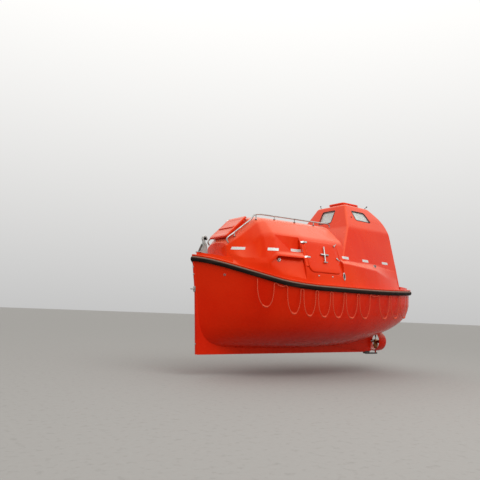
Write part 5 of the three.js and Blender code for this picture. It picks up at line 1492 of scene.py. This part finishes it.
# %% Stock with its tiller, and the shaft
TILLER_END, TILLER_BACK, TILLER_HALF = NOZZLE_X + 230, NOZZLE_X - 30, 14
SHAFT_ENDS = (-1460, -1989)
tiller = plate("tiller", rounded([
    (TILLER_BACK, -TILLER_HALF), (TILLER_END, -TILLER_HALF), (TILLER_END, TILLER_HALF),
    (TILLER_BACK, TILLER_HALF)], 6, 3), [(2, 730), (0, 732), (0, 754), (2, 756)],
    lambda p, up: np.stack([p[:, 0], p[:, 1], np.full(len(p), up)], 1))
stock = joined("nozzle_stock_bar", [
    bar("stock", (NOZZLE_X, 0, boss_top + GAP), (NOZZLE_X, 0, 790), 20, 24, 3), tiller])
finished(stock, stainless, "nozzle", ["nozzle_stock"])

shaft = bar("shaft_bar", (SHAFT_ENDS[0], 0, SHAFT_Z), (SHAFT_ENDS[1], 0, SHAFT_Z), 17, 28, 3)
finished(shaft, stainless, "screw", ["propeller_shaft"])
print("shaft", SHAFT_ENDS[0] - SHAFT_ENDS[1], "mm long")

# %% Towing eye and lamps
EYE_Z, EYE_X, EYE_RADIUS, EYE_STEPS = 1040.0, 2366.9, 30, 40
pad = plate("eye_pad", rounded([(-24, 995), (24, 995), (24, 1085), (-24, 1085)], 14, 5),
            [(0, GAP), (0, 9), (3, 12)],
            lambda p, ahead: np.stack([np.full(len(p), EYE_X + ahead), p[:, 0], p[:, 1]], 1))
turn = np.linspace(0, 2 * np.pi, EYE_STEPS, endpoint=False)
ring_path = np.stack([EYE_X + 38 + EYE_RADIUS * np.cos(turn), EYE_RADIUS * np.sin(turn),
                      np.full(EYE_STEPS, EYE_Z)], 1)
eye_ring, _ = tube("eye_ring", drawn(ring_path), 0.008, 14, loop=True)
finished(joined("towing_eye_ring", [eye_ring, pad]), galvanised, "boat",
         ["towing_eye"])

LAMPS = (("fore", -664, -312, 18, 62), ("aft", -1256, 292, -52, 96))
LAMP_PROFILE = ((0, 7), (0.03, 7), (0.04, 5.5), (0.66, 5.5), (0.68, 11.5), (0.72, 13), (0.74, 11),
                (0.92, 11), (0.97, 8.5), (1.0, 3))
for word, x, y, lean, tall in LAMPS:
    base = np.array([x, y, TOWER_TOP + GAP + 7 * abs(math.sin(math.radians(lean)))])
    aim = np.array([math.sin(math.radians(lean)), 0, math.cos(math.radians(lean))])
    line = [base + aim * tall * k for k, _ in LAMP_PROFILE]
    wide = np.array([r for _, r in LAMP_PROFILE]) / 1000
    lamp_rod, _ = tube(f"lamp_{word}", drawn(line), wide, 20)
    finished(lamp_rod, black, "boat", [f"lamp_rod_{word}"])
print("lamps:", len(LAMPS))

# %% [markdown]
# Bright strips of reflective tape lie along the canopy's side, so that a searchlight finds the boat.
# A strip is a thin sheet dropped square to the boat's side onto the moulding with a Shrinkwrap
# modifier, then thickened along its own normals. Painting it would lose its raised edge.

# %% Reflective tapes
def laid_on(name, rows, target, side, front=1.6, back=3.0):
    """Sheet dropped on a surface along y, then closed: front = p + n * front, back = p - n * back,
    with n the cross product of the sheet's two directions."""
    count, across = rows.shape[:2]
    beside = np.full((count, across, 1), side * 1500.0)
    start = drawn(np.concatenate([rows[..., :1], beside, rows[..., 1:]], -1))
    sheet = make_mesh(name + "_sheet", start.reshape(-1, 3), grid_faces(count, across, ring=False))
    drop = sheet.modifiers.new("drop", "SHRINKWRAP")
    drop.target, drop.wrap_method = target, "PROJECT"
    drop.use_project_y, drop.use_negative_direction = True, side > 0
    drop.use_positive_direction = side < 0
    flat = sheet.evaluated_get(bpy.context.evaluated_depsgraph_get()).to_mesh()
    at = np.empty(count * across * 3)
    flat.vertices.foreach_get("co", at)
    at = at.reshape(count, across, 3)
    bpy.data.objects.remove(sheet)
    n = np.cross(np.gradient(at, axis=0), np.gradient(at, axis=1))
    n /= np.linalg.norm(n, axis=-1, keepdims=True)
    n *= np.sign(n[..., 1:2]) * side
    top, under = at + n * front / 1000, at - n * back / 1000
    return loft(name, np.concatenate([top, under[:, ::-1]], axis=1))


TAPES = [(1925, 1760, 1718, 0.43), (1480, 1320, 1720, 0.34), (1045, 865, 1742, 0.05),
         (-20, -185, 1706, 0.0), (-590, -770, 1704, 0.0), (-1215, -1400, 1716, 0.0)]
TAPE_TALL = 46.0
for side, word in SIDES:
    for k, (x0, x1, z, skew) in enumerate(TAPES):
        grid_x, grid_z = np.meshgrid(
            np.linspace(x0, x1, 14), np.linspace(z - TAPE_TALL / 2, z + TAPE_TALL / 2, 5),
            indexing="ij")
        grid_x = grid_x - skew * (grid_z - z)
        strip_piece = laid_on(f"tape_{word}_{k}", np.stack([grid_x, grid_z], -1), canopy, side)
        finished(strip_piece, tape)
print("tapes a side:", len(TAPES))

# %% [markdown]
# Small fittings break up the big smooth mouldings: hinge straps and dogs at the door, a covered
# oval vent, cowls, sockets and studs. They could be set by hand, but then each would need its own
# turn. Here each round one is a profile turned about the surface's normal where a ray meets the
# moulding, so it sits square wherever it is put.

# %% Fittings turned about the surface's normal
def surface_at(target, start, direction):
    """Place and outward normal where a line meets a moulding, in millimetres above the keel."""
    _, where, normal, _ = target.ray_cast(Vector(drawn([start])[0]), Vector(direction))
    return np.array(where) * 1000 + (0, 0, WATERLINE), np.array(normal)


def fitting(name, where, normal, profile, stretch=1.0, sides=28):
    """Surface of revolution: place + height * n + radius * (u cos a + stretch * v sin a), where v is
    the steepest direction on the surface."""
    v = np.array([0, 0, 1.0]) - normal * normal[2]
    v /= np.linalg.norm(v)
    u = np.cross(v, normal)
    a = np.linspace(0, 2 * np.pi, sides, endpoint=False)[:, None]
    spoke = u * np.cos(a) + v * np.sin(a) * stretch
    return loft(name, drawn([where + normal * h + spoke * r for r, h in profile]))


STUD = [(15, -3), (15, 2), (12, 6), (9, 9), (5, 11), (1, 11.6)]
SOCKET = [(19, -3), (19, 2), (16, 5), (11, 6), (9, 4), (8, -1), (1, -1.5)]
COWL = [(32, -4), (32, 3), (29, 5), (26, 7), (25, 22), (23, 26), (19, 25), (18, 8), (1, 6)]
VENT = [(26, -4), (26, 6), (24, 9), (20, 10), (17, 8), (16, 1), (1, 0)]
# The discs inside the cowls and the vent are black: painted shade where their openings are in shadow.
COWL_MOUTH_SHADE, VENT_MOUTH_SHADE = [(19.5, 2), (19, 7), (1, 7)], [(16.5, -1), (16.5, 4), (1, 4)]
SIDE_FITTINGS = [("stud", 640, 1338, STUD, None, 1.0), ("stud", 335, 1340, STUD, None, 1.0),
                 ("cowl", 1320, 1550, COWL, COWL_MOUTH_SHADE, 1.0),
                 ("cowl", -910, 1622, COWL, COWL_MOUTH_SHADE, 1.0),
                 ("vent", 58, 1362, VENT, VENT_MOUTH_SHADE, 2.7)]
ABEAM = 1400
for side, word in SIDES:
    for k, (kind, x, z, profile, mouth_shade, stretch) in enumerate(SIDE_FITTINGS):
        where, normal = surface_at(canopy, (x, side * ABEAM, z), (0, -side, 0))
        finished(fitting(f"{kind}_{word}_{k}", where, normal, profile, stretch), stainless)
        # A black disc at the bottom of each mouth: painted shade.
        if mouth_shade:
            hole_shade = fitting(f"{kind}_mouth_{word}_{k}", where, normal, mouth_shade, stretch)
            finished(hole_shade, black)
    where, normal = surface_at(hull, (2065, side * ABEAM, 1276), (0, -side, 0))
    finished(fitting(f"skin_fitting_{word}", where, normal, SOCKET), galvanised)
    where, normal = surface_at(canopy, (-640, side * ABEAM, 2548), (0, -side, 0))
    finished(fitting(f"tower_stud_{word}", where, normal, STUD), black)
for k, z in enumerate((1394, 1278, 168)):
    where, normal = surface_at(hull, (2700, 0, z), (-1, 0, 0))
    finished(fitting(f"stem_stud_{k}", where, normal, STUD), galvanised)
print("fittings a side:", len(SIDE_FITTINGS) + 2, "and on the stem:", 3)

# %% [markdown]
# Two straps with a knuckle carry the side door's weight beside its strip hinge, and two dogs on its
# aft edge press it on its rim. A strap is in two halves, because one stays on the canopy while the
# other turns with the door. One piece would tear or cut through the moulding when the door opens.

# %% Door straps and dogs
KNUCKLE_RADIUS, DOG_REACH = 10, 70
STRAP_HEIGHTS, STRAP_HALF = (1884, 1632), 13.0
DOGS = ((152, 1872, 32), (158, 1650, -38))


def strap(side, word, z, half, k):
    """Hinge strap in two halves: one bent from the canopy up to a knuckle, one flat on the door."""
    x, out = DOOR["fore"] + HINGE["beside"], SEAT + DOOR_PLATE
    section = [(x - 4, out - 2), (x + 2, out + 5), (x + 46, GAP + 6), (x + 46, GAP), (x + 12, GAP)]
    leaf = bent_leaf(side, section, z - half, z + half)
    knuckle = bar("knuckle", door_point(side, x, z - half - 3, out),
                  door_point(side, x, z + half + 3, out), KNUCKLE_RADIUS, 20, 2)
    finished(joined(f"strap_fixed_{word}_{k}", [knuckle, leaf]), stainless)
    outline_points = rounded([(x - 76, z - half), (x - 4, z - half), (x - 4, z + half),
                              (x - 76, z + half)], [half - 1, 2, 2, half - 1], 6)
    flat = plate(f"strap_door_{word}_{k}", outline_points, [
        (0, out - 1), (0, out + 4), (2, out + 6)], door_plane(side))
    finished(flat, stainless, f"{word}_door")


def dog(side, word, x, z, angle, k):
    """Turned boss on the door's aft edge and the short lever that laps over the rim."""
    out = SEAT + DOOR_PLATE
    reach = DOG_REACH * np.array([-math.cos(math.radians(angle)), math.sin(math.radians(angle))])
    start, end = door_point(side, x, z, out - 1), door_point(side, x, z, out + 20)
    tip = door_point(side, x + reach[0], z + reach[1], out + 15)
    arm = bar("arm", door_point(side, x, z, out + 13), tip, 8, 14, 4)
    boss = bar("boss", start, end, 15, 24, 3)
    finished(joined(f"dog_{word}_{k}", [boss, arm]), stainless, f"{word}_door")


for side, word in SIDES:
    for k, z in enumerate(STRAP_HEIGHTS):
        strap(side, word, z, STRAP_HALF, k)
    for k, (x, z, angle) in enumerate(DOGS):
        dog(side, word, x, z, angle, k)
print("straps and dogs a door:", len(STRAP_HEIGHTS), len(DOGS))

# %% [markdown]
# The pieces inside the boat are seen only through the windows and when a door stands open, and the
# heel bracket under the nozzle is plain. They could be drawn again more finely, but their
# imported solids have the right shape, so they keep their mesh and only their finish is new.

# %% Finishes of the pieces that keep their mesh
KEPT = {"bench_port": cabin_white, "bench_starboard": cabin_white, "engine_block": engine_grey,
        "helm_seat": seat_black, "helm_console": cabin_white, "steering_wheel": black,
        "heel_bracket": black}
for node, finish in KEPT.items():
    for slot in bpy.data.objects[node].material_slots:
        slot.material = finish
print("kept solids:", len(KEPT))

# %% [markdown]
# A pale studio: an even sky that is a little brighter above, one large soft lamp high on the camera's
# side, and a plain floor a little below the keel, because the boat hangs clear of the ground. A
# picture of a sky would light it too, but the glossy skin would mirror that other place.

# %% Light
scene = bpy.context.scene
scene.view_settings.view_transform = "Standard"
world = bpy.data.worlds.new("studio")
scene.world = world
world.use_nodes = True
sky = world.node_tree
background = sky.nodes["Background"]
where = sky.nodes.new("ShaderNodeTexCoord")
parts = sky.nodes.new("ShaderNodeSeparateXYZ")
sky.links.new(where.outputs["Generated"], parts.inputs["Vector"])
height = remap(sky, parts.outputs["Z"], 0.0, 1.0, -0.1, 0.7)
sky.links.new(blend_colours(sky, height, (0.40, 0.40, 0.40), (1.0, 0.99, 0.97)),
              background.inputs["Color"])
background.inputs["Strength"].default_value = 1.2

lamp = bpy.data.lights.new("soft_lamp", "AREA")
lamp.shape, lamp.size, lamp.size_y, lamp.energy = "RECTANGLE", 7.0, 5.0, 360.0
softbox = bpy.data.objects.new("soft_lamp", lamp)
scene.collection.objects.link(softbox)
softbox.location = (1.0, 7.0, 7.0)
lamp_aim = Vector((0.2, 0.4, 0.6)) - softbox.location
softbox.rotation_euler = lamp_aim.to_track_quat("-Z", "Y").to_euler()
print("lamp", lamp.energy, "W at", tuple(softbox.location))

# %% Floor
FLOOR_HEIGHT, FLOOR_RADIUS, FLOOR_THICK = -1.0, 120.0, 0.05
floor_rings = np.stack([
    np.stack([FLOOR_RADIUS * np.cos(around), FLOOR_RADIUS * np.sin(around),
              np.full(RING_STEPS, z)], -1) for z in (FLOOR_HEIGHT - FLOOR_THICK, FLOOR_HEIGHT)])
floor = loft("studio_floor", floor_rings)
floor_paint = plain_paint("floor_paint", (0.30, 0.29, 0.275), (0.26, 0.25, 0.235), 0.85, 0.95, 3.0,
                          0.001)
floor.data.materials.append(floor_paint)
print("floor", FLOOR_HEIGHT, "m from the waterline")
